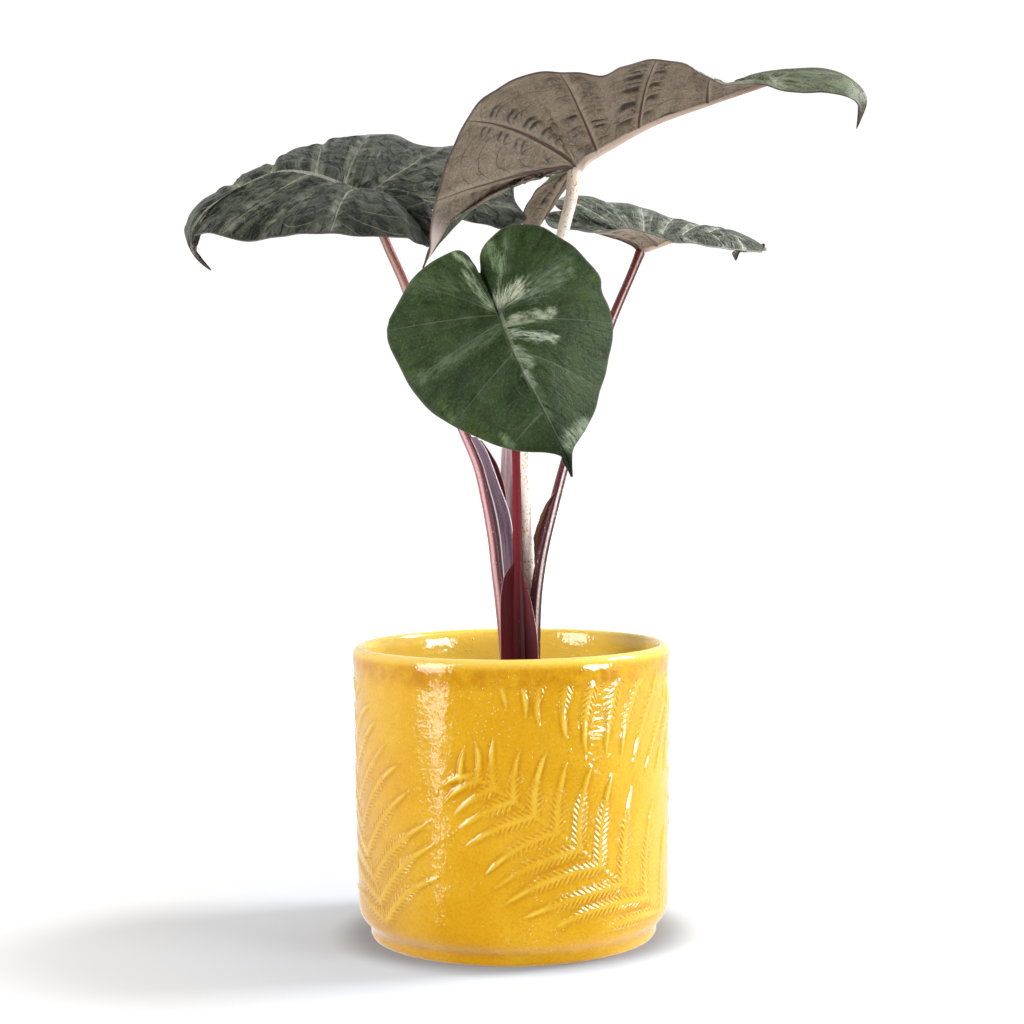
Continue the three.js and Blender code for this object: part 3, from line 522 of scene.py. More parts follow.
def blade(name, leaf, look, upper_material, under_material, rim_material):
    """A leaf blade: its two faces and a rounded rim between them."""
    points, data, triangles = blade_sheet(leaf, look)
    top, triangles, normals, head = swell_sheet(leaf, look, points, data, triangles)
    top, under = thicken(look, top, normals, head, data)
    count = len(points)
    rim_edges = open_edges(triangles)
    rim_points = sorted({p for edge in rim_edges for p in edge})
    rim_index = {p: 2 * count + k for k, p in enumerate(rim_points)}
    outward = np.zeros((count, 3))
    for p, q in rim_edges:
        side_way = np.cross(top[q] - top[p], normals[p])
        outward[p] += side_way
        outward[q] += side_way
    outward = unit(outward)
    rim = [(top[p] + under[p]) / 2 + outward[p] * look.thickness * RIM_BULGE for p in rim_points]
    faces = np.vstack([triangles, triangles[:, ::-1] + count])
    rim_faces = []
    for p, q in rim_edges:
        m, n = rim_index[p], rim_index[q]
        rim_faces += [(q, p, m), (q, m, n), (n, m, p + count), (n, p + count, q + count)]
    all_points = np.vstack([top, under, np.array(rim)])
    order = np.concatenate([np.arange(count), np.arange(count), np.array(rim_points)])
    materials = np.repeat([0, 1, 2], [len(triangles), len(triangles), len(rim_faces)])
    attributes = {key: np.stack([data[part][order] for part in parts], -1)
                  for key, parts in (("vein", ("q", "r", "gap")), ("blade", ("w", "at", "side")))}
    return make_mesh(name, all_points, [faces, np.array(rim_faces)],
                     [upper_material, under_material, rim_material], materials, attributes)


# Stalks and sheaths

# Each stalk runs from the rootstock to just under its blade's junction, as in the CAD. A sheath is a thin
# flap from the stalk's core to its free margin; bow is how far its middle stands out.
STALKS = {
    "left": {
        "leaf": LEAF_LEFT,
        "radii": [3, 2.6, 2.3, 2.1, 2],
        "route": [
            [-3, -1, 82.5], [-2.6, -1, 100], [-2.4, -1, 122], [-4.2, -1, 145], [-6, -1, 161],
            [-7.4, -1, 174], [-10.2, -1, 191], [-13.6, -1, 206], [-20, -1, 222], [-29, -2, 243],
            [-37, -2, 264], [-45.8, -2, 288], [-51.5, -2, 301], [-56, -2, 312],
        ],
        "sheaths": [
            {"bow": [0, -1.2, 0],
             "margin": [[3.2, -3.4, 99], [3.2, -3.4, 125], [2.6, -3.2, 155], [1, -3, 181],
                        [-4.6, -2.6, 198.5], [-10, -2, 213], [-14, -1.2, 219]]},
            {"bow": [0, 1, 0],
             "margin": [[0.5, 3.4, 99], [0.6, 3.2, 150], [-1, 1.8, 190], [-4, 1.7, 204],
                        [-7.5, 1.4, 211], [-12, 0.6, 217.5]]},
        ],
    },
    "top": {
        "leaf": LEAF_TOP,
        "radii": [3, 2.5, 2.4, 2.6, 2.8],
        "route": [
            [5, 6.5, 82.5], [5.2, 6.2, 100], [7, 5.8, 122], [8.4, 5.2, 145], [8, 5, 163],
            [7.3, 5, 176], [7, 5.3, 196], [7.2, 6, 211], [9, 8, 235], [14, 9, 262], [20, 8, 290],
            [25.5, 7, 312], [28.8, 6, 325],
        ],
        "sheaths": [
            {"bow": [0, 0.8, 0],
             "margin": [[-3, 6.6, 99], [-2.6, 6.2, 125], [-2.8, 5.4, 150], [-3.6, 4.6, 182],
                        [-3.5, 4.4, 213], [-0.5, 5.4, 226], [6.2, 6.8, 236]]},
        ],
    },
    "front": {
        "leaf": LEAF_FRONT,
        "seat": 4.6,
        "radii": [3, 2.6, 2, 1.7, 1.8],
        "route": [
            [3.5, -8.5, 82.5], [3.6, -9, 100], [3.6, -9.2, 122], [3.3, -9.8, 165], [3, -14, 212],
            [2, -22, 235], [0, -34, 253], [-1.6, -43, 262.5],
        ],
        "sheaths": [
            {"bow": [-0.6, -1.6, 0],
             "margin": [[-4.4, -6.4, 99], [-4.8, -5.8, 122], [-4.5, -6, 145], [-3.5, -7, 153.5],
                        [-2.2, -8, 158.5], [1.5, -9.4, 164]]},
            {"bow": [0.6, -1.6, 0],
             "margin": [[11.2, -6, 99], [11.8, -5.6, 122], [11.5, -6, 132], [10.5, -6.2, 139.5],
                        [9, -7, 147.5], [6.8, -8.2, 155], [4.6, -9.4, 161.5]]},
        ],
    },
    "right": {
        "leaf": LEAF_RIGHT,
        "radii": [3, 2.6, 2.2, 2.1, 2.1],
        "route": [
            [9.8, -0.8, 82.5], [10, -0.9, 100], [10.2, -1, 122], [11.2, -0.8, 147], [13.3, 0, 162],
            [15.6, 1.4, 173], [19, 4.4, 186], [24, 10.5, 204], [32.4, 24, 231], [41.6, 40, 255],
            [48.5, 51, 273], [58, 64.5, 294], [61.5, 69, 302],
        ],
        "sheaths": [
            {"bow": [0, 0.5, 0],
             "margin": [[9.9, 2.3, 99], [8.6, 1.2, 122], [9.2, 0.8, 135], [10.6, 1, 153.5],
                        [10.4, 1.2, 170], [11, 1.4, 177], [15.4, 2.6, 188.5], [19.5, 4.6, 194]]},
        ],
    },
}
STALK_SEAT_DEPTH = 3.4
STALK_SIDES = 28
STALK_STEPS = 170
STALK_FLARE = 0.16
STALK_WOBBLE = 0.03
STALK_RIBS = 9
STALK_RIB_HEIGHT = 0.012
CAP_STEPS = 7
CAP_HEIGHT = 0.8
WING_ROWS = 72
WING_COLUMNS = 12
WING_THICKNESS = 0.9
WING_MIDDLE = 0.55
WING_TAPER = 0.68
WING_CURL = 0.5
WING_ROUGHNESS = 0.12


def grid_faces(rows, columns, first=0):
    """Quads over a grid of points whose last column joins its first."""
    r = np.arange(rows - 1)[:, None]
    c = np.arange(columns)[None]
    a = first + r * columns + c
    b = first + r * columns + (c + 1) % columns
    return np.stack([a, b, b + columns, a + columns], -1).reshape(-1, 4)


def fans(rows, columns):
    """Triangles from a grid's first and last rows to the two points that follow it."""
    j = np.arange(columns)
    after = (j + 1) % columns
    last = (rows - 1) * columns
    bottom = np.stack([after, j, np.full_like(j, rows * columns)], -1)
    top = np.stack([last + j, last + after, np.full_like(j, rows * columns + 1)], -1)
    return np.vstack([bottom, top])


def stalk_tube(spec):
    """The stalk's core: points, quads, caps, strand (round, along, -1) and which way it faces."""
    head = np.asarray(spec["leaf"]["midrib"][0], float)
    neck = np.asarray(spec["route"][-1], float)
    seat = head + (neck - head) * spec.get("seat", STALK_SEAT_DEPTH) / np.linalg.norm(head - neck)
    line, at = resample(centripetal([*spec["route"], seat], 24), STALK_STEPS)
    ahead = unit(np.gradient(line, axis=0))
    radius = along(np.array(spec["radii"], float), np.linspace(0, len(spec["radii"]) - 1, STALK_STEPS))[:, 0]
    flare = 1 + STALK_FLARE * np.exp((at - at[-1]) / 5)
    radius = radius * flare * (1 + STALK_WOBBLE * np.sin(at / 11 + 2) * np.sin(at / 29))
    side = unit(np.cross(ahead, [0, 1, 0]))
    front = np.cross(side, ahead)
    theta = np.linspace(0, 2 * math.pi, STALK_SIDES, endpoint=False)
    ribs = 1 + STALK_RIB_HEIGHT * np.cos(STALK_RIBS * theta)
    ring = np.cos(theta)[None, :, None] * side[:, None] + np.sin(theta)[None, :, None] * front[:, None]
    points = line[:, None] + ring * radius[:, None, None] * ribs[None, :, None]
    crown = ahead[-1] * radius[-1] * CAP_HEIGHT
    caps = []
    for turn in np.arange(1, CAP_STEPS) / CAP_STEPS * math.pi / 2:
        caps.append(line[-1] + crown * math.sin(turn) + ring[-1] * radius[-1] * math.cos(turn))
    points = np.concatenate([points, np.array(caps)])
    rows = len(points)
    flat = np.vstack([points.reshape(-1, 3), line[0], line[-1] + crown])
    quads = grid_faces(rows, STALK_SIDES)
    lengths = np.concatenate([at, np.full(rows - len(at), at[-1])])
    strand = np.stack([
        np.tile(theta, rows), np.repeat(lengths, STALK_SIDES), np.full(rows * STALK_SIDES, -1.0)], -1)
    strand = np.vstack([strand, [0, at[0], -1], [0, at[-1], -1]])
    # Which way each point faces, for painting the stalk's lit and shaded sides.
    facing = np.concatenate([np.tile(-np.cos(theta), rows), [0, 0]])
    return flat, quads, fans(rows, STALK_SIDES), strand, facing


def wing(spec, sheath, ragged, seed):
    """One sheath flap as a closed thin sheet: points, quads and its strand (round, along, across)."""
    route = np.asarray(spec["route"], float)
    u = np.linspace(0, len(sheath["margin"]) - 1, WING_ROWS)
    edge = along(sheath["margin"], u)
    root = np.stack([np.interp(edge[:, 2], route[:, 2], route[:, k]) for k in range(3)], -1)
    across = edge - root
    rough = ragged * (np.sin(edge[:, 2] * 0.9 + seed) * np.sin(edge[:, 2] * 0.37) - 0.4)
    across = across * (1 + rough * WING_ROUGHNESS)[:, None]
    w = np.linspace(0, 1, WING_COLUMNS)
    bow = np.asarray(sheath["bow"], float)
    lift = w * (1 - w) / (WING_MIDDLE * (1 - WING_MIDDLE))
    curl = WING_CURL * np.sin(edge[:, 2] / 9 + seed)[:, None] * (w**3)[None]
    face = unit(np.cross(across, [0, 0, 1]))
    sheet = root[:, None] + across[:, None] * w[None, :, None] + bow * lift[None, :, None]
    sheet = sheet + face[:, None] * curl[:, :, None]
    slim = WING_THICKNESS * (1 - WING_TAPER * w**1.5)
    slim = slim[None] * np.minimum(1, np.linspace(0, 7, WING_ROWS)[::-1, None] + 0.35)
    front = sheet + face[:, None] * slim[:, :, None] / 2
    back = sheet - face[:, None] * slim[:, :, None] / 2
    ring = np.concatenate([front, back[:, ::-1]], 1)
    columns = ring.shape[1]
    quads = grid_faces(WING_ROWS, columns)
    ends = []
    for row, turned in ((0, True), (WING_ROWS - 1, False)):
        for c in range(WING_COLUMNS - 1):
            a, b = row * columns + c, row * columns + c + 1
            d, e = row * columns + columns - 1 - c, row * columns + columns - 2 - c
            ends.append((d, e, b, a) if turned else (a, b, e, d))
    both = np.concatenate([w, w[::-1]])
    strand = np.stack([
        np.tile(np.concatenate([np.zeros(WING_COLUMNS), np.ones(WING_COLUMNS)]), WING_ROWS),
        np.repeat(edge[:, 2], columns), np.tile(both, WING_ROWS)], -1)
    return ring.reshape(-1, 3), np.vstack([quads, np.array(ends)]), strand


def face_outward(points, quads):
    """The quads turned so that the closed sheet's volume is positive."""
    a, b, c, d = (points[quads[:, k]] for k in range(4))
    volume = (np.cross(b - a, c - a) * a).sum() + (np.cross(c - a, d - a) * a).sum()
    return quads if volume > 0 else quads[:, ::-1]


def stalk(name, spec, core, sheath_materials, ragged=0.0, seed=0.0):
    """A stalk's core with its sheath flaps, as one piece."""
    points, quads, caps, strand, facing = stalk_tube(spec)
    corner, after, _, above = points[quads[0]]
    if np.cross(after - corner, above - corner) @ (corner - points[-2]) <= 0:
        quads = quads[:, ::-1]
    groups, indices = [quads], [np.zeros(len(quads))]
    for number, sheath in enumerate(spec["sheaths"]):
        sheet, sheet_quads, sheet_strand = wing(spec, sheath, ragged, seed + number)
        groups.append(face_outward(sheet, sheet_quads) + len(points))
        indices.append(np.full(len(sheet_quads), number + 1))
        points = np.vstack([points, sheet])
        strand = np.vstack([strand, sheet_strand])
        facing = np.concatenate([facing, np.zeros(len(sheet))])
    groups.append(caps)
    indices.append(np.zeros(len(caps)))
    return make_mesh(name, points, groups, [core, *sheath_materials], np.concatenate(indices),
                     {"strand": strand, "facing": facing})


# Cover pot with its pressed fern relief

POT_HEIGHT = 128.0
POT_RIM = 70.0
POT_FOOT = 63.0
POT_WALL = 6.0
WALL_RADIUS = 69.2
GLAZE_COLUMNS = 560
COARSE_STEP = 4
COARSE_COLUMNS = GLAZE_COLUMNS // COARSE_STEP
BASE_RINGS = (POT_FOOT - 20, 20)
LIP_INSIDE = 0.8
INSIDE_FROM = 60
FRONT_CROWDING = 0.35
RELIEF_HEIGHT = 0.85
RELIEF_SINK = 0.25
RELIEF_BLUR = 14
# Slow waves in the wall: how deep, how wide and their seed.
WALL_WAVES = ((0.12, 16.0, 2.0), (0.05, 4.5, 8.0))
# Where the glaze pools under the rim and by the foot: heights where it starts and is full.
RIM_POOL = ((113, 119), (125.5, 122))
FOOT_POOL = ((9, 6), (3.5, 5.5))
FOOT_POOL_SHARE = 0.6
PINNULE_PITCH = 2.4
PINNULE_SLANT = 0.9
CLAW_WIDTH = 1.15
FEATHER_WIDTH = 3.9

# A frond's midline and the lines its leaflets' tips reach, as (round the wall, up) in millimetres.
# Round the wall, 0 is the front and the right is positive.
FROND_SIDE = {
    "midline": [(-93.6, 112), (-92.5, 86), (-88.7, 63), (-80.4, 44), (-69.9, 28.4), (-62.8, 14)],
    "tips": [
        [(-85.8, 116), (-74.3, 107.5), (-69.7, 101), (-62, 91.8), (-53.9, 83.5), (-48.1, 73), (-38.2, 60),
         (-34.4, 51), (-32.4, 36.7)],
        [(-100, 118), (-112, 108), (-120, 98), (-128, 88), (-133, 77), (-134, 64), (-128, 50), (-118, 38),
         (-100, 22)],
    ],
    "leaflets": 9,
}
FROND_MIDDLE = {
    "midline": [(-24.5, 80.1), (-9.9, 76.8), (6.9, 65.4), (26.4, 50), (49.2, 32.4), (82.5, 13.7)],
    "tips": [
        [(-21.4, 89.7), (-16.9, 92.7), (-10.4, 96.6), (0.6, 92.4), (11.9, 90.5), (20.6, 85.6), (32.5, 83.8),
         (43.3, 78.9), (55.2, 71.7), (70.6, 62.6), (86, 50)],
        [(-28.7, 78), (-29.8, 71.3), (-24.7, 65.9), (-22.7, 59.3), (-20.3, 54.2), (-12.2, 41.3),
         (-9.5, 34), (-4.7, 27.7), (3, 22), (14, 16), (32.4, 12)],
    ],
    "leaflets": 11,
}
FROND_TOP = {
    "midline": [(-12, 126), (6, 122), (24, 119), (45, 117), (66, 112), (88, 103), (97, 95)],
    "tips": [
        [(-6.7, 110.3), (4, 105), (8.2, 101.2), (20.2, 96.5), (28.8, 89.8), (39.2, 87.5), (48.4, 86),
         (56, 81.3), (65, 77.2), (74.1, 75.8), (86, 74)],
        [(18, 126), (31, 126), (44, 126), (57, 125), (68, 122), (77, 119), (88, 114), (96, 108)],
    ],
    "leaflets": 11,
}
# Each frond is set as it is or mirrored, then shifted round the wall.
FROND_PLACES = [
    (FROND_SIDE, 1, 0.0), (FROND_MIDDLE, 1, 0.0), (FROND_TOP, 1, 0.0),
    (FROND_MIDDLE, -1, 247.0), (FROND_SIDE, 1, 226.0), (FROND_TOP, -1, 286.0),
]
RELIEF_LOW = 8.0
RELIEF_HIGH = 121.0
RELIEF_ROWS = 146
CLAW_HEIGHT = 0.95
LEAFLET_RIB_HEIGHT = 0.6
LEAFLET_RIB_WIDTH = 0.65
TOOTH_HEIGHT = 0.66
LEAFLET_STEPS = 44
LEAFLET_BEND = 0.13
LEAFLET_ROOM = 5
MIDLINE_HEIGHT = 0.5
MIDLINE_WIDTH = 1.1
MIDLINE_STEPS = 60
MIDLINE_ROOM = 3
RIM_PALE = (123.5, 127.2)


def leaflet_relief(s, z, base, tip, bend, stagger):
    """One leaflet's height at points (s, z), from 0 to 1: a smooth claw at its tip, then slanted teeth."""
    base, tip = np.asarray(base, float), np.asarray(tip, float)
    chord = tip - base
    side = np.array([-chord[1], chord[0]])
    t = np.linspace(0, 1, LEAFLET_STEPS)[:, None]
    middle = base + chord * 0.55 + side * bend
    line = base * (1 - t) ** 2 + middle * 2 * t * (1 - t) + tip * t**2
    step = np.linalg.norm(np.diff(line, axis=0), axis=1)
    run = np.concatenate([[0], np.cumsum(step)])
    ahead = unit(np.gradient(line, axis=0))
    gap_s = s[:, None] - line[None, :, 0]
    gap_z = z[:, None] - line[None, :, 1]
    nearest = (gap_s**2 + gap_z**2).argmin(1)
    rows = np.arange(len(s))
    near_s, near_z = gap_s[rows, nearest], gap_z[rows, nearest]
    a = run[nearest] + near_s * ahead[nearest, 0] + near_z * ahead[nearest, 1]
    turned = near_z * ahead[nearest, 0] - near_s * ahead[nearest, 1]
    off = np.abs(turned)
    from_tip = run[-1] - a
    claw_width = CLAW_WIDTH * np.sqrt(np.clip(from_tip / 4, 0, 1)) * (0.5 + 0.5 * smoothstep(0, 7, from_tip))
    claw = CLAW_HEIGHT * np.clip(1 - (off / (claw_width + 0.05)) ** 2, 0, 1) ** 0.7
    claw = claw * smoothstep(18, 9, from_tip)
    rib = LEAFLET_RIB_HEIGHT * np.clip(1 - (off / LEAFLET_RIB_WIDTH) ** 2, 0, 1)
    rib = rib * (from_tip > 0) * smoothstep(-1, 3, a)
    phase = (a - PINNULE_SLANT * off) / PINNULE_PITCH + stagger + 0.5 * (turned > 0)
    tooth = 0.5 + 0.5 * np.cos(2 * math.pi * phase)
    reach = FEATHER_WIDTH * smoothstep(4, 20, from_tip) * smoothstep(-3, 3, a) * (0.72 + 0.28 * tooth)
    across = off / (reach + 0.05)
    inside = np.clip(1 - across**2, 0, 1) * (reach > 0.3)
    teeth = TOOTH_HEIGHT * (1 - 0.55 * smoothstep(0.08, 0.6, across) * (1 - tooth)) * inside**0.5
    return np.maximum(np.maximum(claw, rib), teeth), a / PINNULE_PITCH + stagger, turned, inside


def near_box(s, z, ends, room):
    """The points round a box that holds the ends: their index and place, counted from the box's side."""
    low, high = np.min(ends, axis=0) - room, np.max(ends, axis=0) + room
    local = low[0] + np.mod(s - low[0], 2 * math.pi * WALL_RADIUS)
    near = np.flatnonzero((local < high[0]) & (z > low[1]) & (z < high[1]))
    return near, local[near], z[near]


def fern_relief(s, z):
    """The fern relief at each point (round the wall, up).

    Gives its height from 0 to 1, and for the teeth the place along and across the leaflet, and how far in.
    """
    total = np.zeros_like(s)
    leaflet = np.zeros((len(s), 3))
    rng = np.random.default_rng(7)
    for frond, mirror, shift in FROND_PLACES:

        def set_out(rows, where):
            return along(rows, where * (len(rows) - 1)) * [mirror, 1] + [shift, 0]

        for tips in frond["tips"]:
            where = np.linspace(0.04, 1, frond["leaflets"])
            for base, tip in zip(set_out(frond["midline"], where), set_out(tips, where)):
                near, near_s, near_z = near_box(s, z, (base, tip), LEAFLET_ROOM)
                bend = LEAFLET_BEND * np.sign(tip[0] - base[0]) * rng.uniform(0.5, 1.3)
                stagger = rng.uniform(0, 1)
                height, place, turned, inside = leaflet_relief(near_s, near_z, base, tip, bend, stagger)
                higher = height > total[near]
                total[near[higher]] = height[higher]
                toothed = inside > leaflet[near, 2]
                leaflet[near[toothed]] = np.stack([place, turned, inside], -1)[toothed]
        line = set_out(frond["midline"], np.linspace(0, 1, MIDLINE_STEPS))
        near, near_s, near_z = near_box(s, z, line, MIDLINE_ROOM)
        gaps = np.hypot(near_s[:, None] - line[None, :, 0], near_z[:, None] - line[None, :, 1]).min(1)
        midline = MIDLINE_HEIGHT * np.clip(1 - (gaps / MIDLINE_WIDTH) ** 2, 0, 1)
        total[near] = np.maximum(total[near], midline)
    fade = smoothstep(RELIEF_LOW, RELIEF_LOW + 9, z) * smoothstep(RELIEF_HIGH, RELIEF_HIGH - 4, z)
    points = np.stack([s, z, 0 * z], -1)
    leaflet[:, 2] *= fade
    return total * fade * (0.8 + 0.2 * mesh_noise(points, 9.0, 4.0)), leaflet


def blur_rows(grid, times):
    for _ in range(times):
        grid = (np.roll(grid, 1, 1) + 2 * grid + np.roll(grid, -1, 1)) / 4
        grid[1:-1] = (grid[:-2] + 2 * grid[1:-1] + grid[2:]) / 4
    return grid


def pot_profile():
    """The outer wall from foot to inner lip finely, then the inside and the underside coarsely."""
    rim, foot, top = POT_RIM, POT_FOOT, POT_HEIGHT
    inner = rim - POT_WALL
    low = centripetal([(foot - 0.6, 0), (foot, 0.6), (foot + 0.2, 4), (foot + 1.2, 5.8), (foot + 3.8, 8.8),
                       (foot + 5.2, 12.4), (foot + 5.6, 18)], 8)
    wall = np.array([(foot + 5.6, 18), (rim - 0.7, top - 18)])
    lip = centripetal([(rim - 0.7, top - 18), (rim - 0.55, top - 12), (rim - 0.2, top - 8),
                       (rim, top - 4.5), (rim - 0.6, top - 1.9), (rim - 2.2, top - 0.3),
                       (rim - 3.6, top - 0.1), (rim - 5, top - 1.4), (inner, top - 5.5)], 8)
    back = centripetal([(inner, top - 5.5), (inner - 0.2, top - 12), (inner - 0.6, top - 20)], 4)
    outer = np.vstack([resample(low, 14)[0][:-1], resample(wall, 128)[0][:-1], resample(lip, 22)[0][:-1],
                       resample(back, 6)[0]])
    inside = centripetal([(inner - 0.6, top - 20), (foot - 1.5, 18), (foot - 3.5, 10),
                          (foot - 8, POT_WALL)], 6)[1:]
    return outer, inside


def stitch(fine_first, coarse_first):
    """Triangles between a fine ring and a coarse one."""
    j = np.arange(COARSE_COLUMNS)
    f = [fine_first + (COARSE_STEP * j + k) % GLAZE_COLUMNS for k in range(COARSE_STEP + 1)]
    c, d = coarse_first + j, coarse_first + (j + 1) % COARSE_COLUMNS
    half = COARSE_STEP // 2
    triangles = [np.stack([c, f[k], f[k + 1]], -1) for k in range(half)]
    triangles += [np.stack([d, f[k], f[k + 1]], -1) for k in range(half, COARSE_STEP)]
    return np.vstack([*triangles, np.stack([c, f[half], d], -1)])


def fan(first, centre):
    j = np.arange(COARSE_COLUMNS)
    return np.stack([first + j, first + (j + 1) % COARSE_COLUMNS, np.full_like(j, centre)], -1)


def pool_and_lit_inside(points):
    """Where the glaze pools, from 0 to 1, and -1 on the pot's inside, where the glaze takes painted light."""
    height = points[:, 2]
    rim_pool, foot_pool = (smoothstep(*above, height) * smoothstep(*below, height)
                           for above, below in (RIM_POOL, FOOT_POOL))
    pool = rim_pool + FOOT_POOL_SHARE * foot_pool
    from_axis = np.hypot(points[:, 0], points[:, 1])
    inside = (from_axis < POT_RIM - POT_WALL + LIP_INSIDE) & (height > INSIDE_FROM)
    return np.where(inside, -1.0, pool)


def cover_pot(material):
    outer, inside = pot_profile()
    t = np.linspace(0, 1, GLAZE_COLUMNS, endpoint=False)
    phi = 2 * math.pi * t + FRONT_CROWDING * np.sin(2 * math.pi * t) + math.pi
    s = np.mod(phi + math.pi, 2 * math.pi) - math.pi
    s_grid = np.repeat(s[None] * WALL_RADIUS, len(outer), 0)
    z_grid = np.repeat(outer[:, 1:2], GLAZE_COLUMNS, 1)
    outside = (np.arange(len(outer)) < RELIEF_ROWS)[:, None] * np.ones((1, GLAZE_COLUMNS))
    relief, leaflet = fern_relief(s_grid.ravel(), z_grid.ravel())
    relief = relief.reshape(s_grid.shape) * outside
    leaflet[:, 2] *= outside.ravel()
    around = blur_rows(relief.copy(), RELIEF_BLUR)
    radius = outer[:, :1] + RELIEF_HEIGHT * relief - RELIEF_SINK * around
    wave = np.stack([np.cos(phi)[None] * radius, np.sin(phi)[None] * radius, z_grid], -1)
    radius = radius + sum(deep * mesh_noise(wave, wide, seed) for deep, wide, seed in WALL_WAVES)
    ring = np.stack([np.sin(phi), -np.cos(phi)], -1)
    fine = np.concatenate([radius[:, :, None] * ring[None], z_grid[:, :, None]], -1).reshape(-1, 3)
    inner_rows = [*inside, *((r, POT_WALL) for r in BASE_RINGS)]
    under_rows = [(r, 0) for r in (POT_FOOT - 3.2, *BASE_RINGS)]
    coarse = [np.concatenate([r * ring[::COARSE_STEP], np.full((COARSE_COLUMNS, 1), z)], 1)
              for r, z in (*inner_rows, *under_rows)]
    points = np.vstack([fine, *coarse, [[0, 0, POT_WALL], [0, 0, 0]]])
    first_inner = len(fine)
    first_under = first_inner + len(inner_rows) * COARSE_COLUMNS
    hub = first_under + len(under_rows) * COARSE_COLUMNS
    groups = [
        grid_faces(len(outer), GLAZE_COLUMNS), grid_faces(len(inner_rows), COARSE_COLUMNS, first_inner),
        grid_faces(len(under_rows), COARSE_COLUMNS, first_under)[:, ::-1],
        stitch(first_inner - GLAZE_COLUMNS, first_inner), stitch(0, first_under)[:, ::-1],
        fan(first_under - COARSE_COLUMNS, hub), fan(hub - COARSE_COLUMNS, hub + 1)[:, ::-1],
    ]
    extra = np.zeros(len(points) - len(fine))
    relief, around = (np.concatenate([part.ravel(), extra]) for part in (relief, around))
    glaze = np.stack([relief, around, pool_and_lit_inside(points)], -1)
    leaflet = np.vstack([leaflet, np.zeros((len(extra), 3))])
    return make_mesh("glazed_pot", points, groups, [material], None, {"glaze": glaze, "leaflet": leaflet})


# Nursery pot and soil

LINER_BASE = 6.3
LINER_HEIGHT = 96.0
LINER_TOP = 59.0
LINER_FOOT = 44.0
LINER_WALL = 1.2
LINER_COLUMNS = 96
DRAIN_HOLES = 6
DRAIN_RADIUS = 4.5
DRAIN_RING = 28.0


def closed_lathe(profile, columns):
    """A turned shape whose profile starts and ends on the axis."""
    theta = np.linspace(0, 2 * math.pi, columns, endpoint=False)
    ring = np.stack([np.cos(theta), np.sin(theta)], -1)
    rows = [np.concatenate([r * ring, np.full((columns, 1), z)], 1) for r, z in profile[1:-1]]
    points = np.vstack([*rows, [[0, 0, profile[0][1]], [0, 0, profile[-1][1]]]])
    return points, grid_faces(len(rows), columns), fans(len(rows), columns)


def nursery_pot(material):
    base, top = LINER_BASE, LINER_BASE + LINER_HEIGHT
    t, b, w = LINER_TOP, LINER_FOOT, LINER_WALL
    profile = [
        (0, base), (b - 20, base), (b - 2, base), (b - 1, base), (b - 0.3, base + 0.3), (b, base + 1),
        (b + 5.4, base + 40), (t - 3, top - 8), (t - 2.6, top - 7.7), (t, top - 7.6), (t + 0.2, top - 7.2),
        (t, top - 3), (t, top - 0.6), (t - 0.4, top), (t - w - 0.8, top), (t - w - 1.2, top - 0.4),
        (t - 3 - w, top - 9), (b + 5.2 - w, base + 40), (b - w, base + 2 * w), (b - w - 1, base + w),
        (0, base + w),
    ]
    points, quads, caps = closed_lathe(profile, LINER_COLUMNS)
    piece = make_mesh("nursery_liner", points, [quads, caps], [material])
    drills = bpy.data.meshes.new("drills")
    tool = bmesh.new()
    for k in range(DRAIN_HOLES):
        angle = 2 * math.pi * k / DRAIN_HOLES
        place = (DRAIN_RING * math.cos(angle) * MM, DRAIN_RING * math.sin(angle) * MM, (base + w / 2) * MM)
        bmesh.ops.create_cone(tool, cap_ends=True, segments=32, radius1=DRAIN_RADIUS * MM,
                              radius2=DRAIN_RADIUS * MM, depth=4 * w * MM, matrix=Matrix.Translation(place))
    tool.to_mesh(drills)
    tool.free()
    cutter = bpy.data.objects.new("drills", drills)
    bpy.context.scene.collection.objects.link(cutter)
    cut = piece.modifiers.new("drain", "BOOLEAN")
    cut.operation = "DIFFERENCE"
    cut.object = cutter
    bpy.context.view_layer.update()
    finished = bpy.data.meshes.new_from_object(piece.evaluated_get(bpy.context.evaluated_depsgraph_get()))
    piece.modifiers.clear()
    piece.data = finished
    bpy.data.objects.remove(cutter)
    return piece


# The soil's dome, as (from the axis, height), and its foot.
SOIL_DOME = ((0, 96), (16, 95.6), (25, 95), (34, 94), (44, 92), (53, 91.3))
SOIL_GAP = 0.3
SOIL_EDGE = 91.0
SOIL_WALL = (60, 88.5)
CHIP_SHARE = 0.3
CHIP_STRETCH = (1.6, 2.6)
CRUMB_STRETCH = (0.9, 1.3)
CRUMB_SIZE = (0.8, 2.2)
PERLITE_SIZE = (0.7, 1.5)
LUMP_SETTLE = (-0.1, 0.35)
# The soil's unevenness: how high, how wide and its seed.
SOIL_NOISE = ((0.9, 6.0, 1.0), (0.5, 2.3, 5.0))
SOIL_COLUMNS = 168
SOIL_RINGS = 64
CRUMBS = 460
PERLITE = 46


def liner_inside(z):
    """The soil's radius at a height, just inside the nursery pot."""
    low, high = LINER_BASE + 2 * LINER_WALL, LINER_BASE + LINER_HEIGHT - 9
    r0, r1 = LINER_FOOT - LINER_WALL, LINER_TOP - 3 - LINER_WALL
    return r0 + (r1 - r0) * (z - low) / (high - low) - SOIL_GAP


def soil_height(x, y):
    r = np.hypot(x, y)
    dome = np.interp(r, *zip(*SOIL_DOME))
    points = np.stack([x, y, 0 * x], -1)
    return dome + sum(high * mesh_noise(points, wide, seed) for high, wide, seed in SOIL_NOISE)


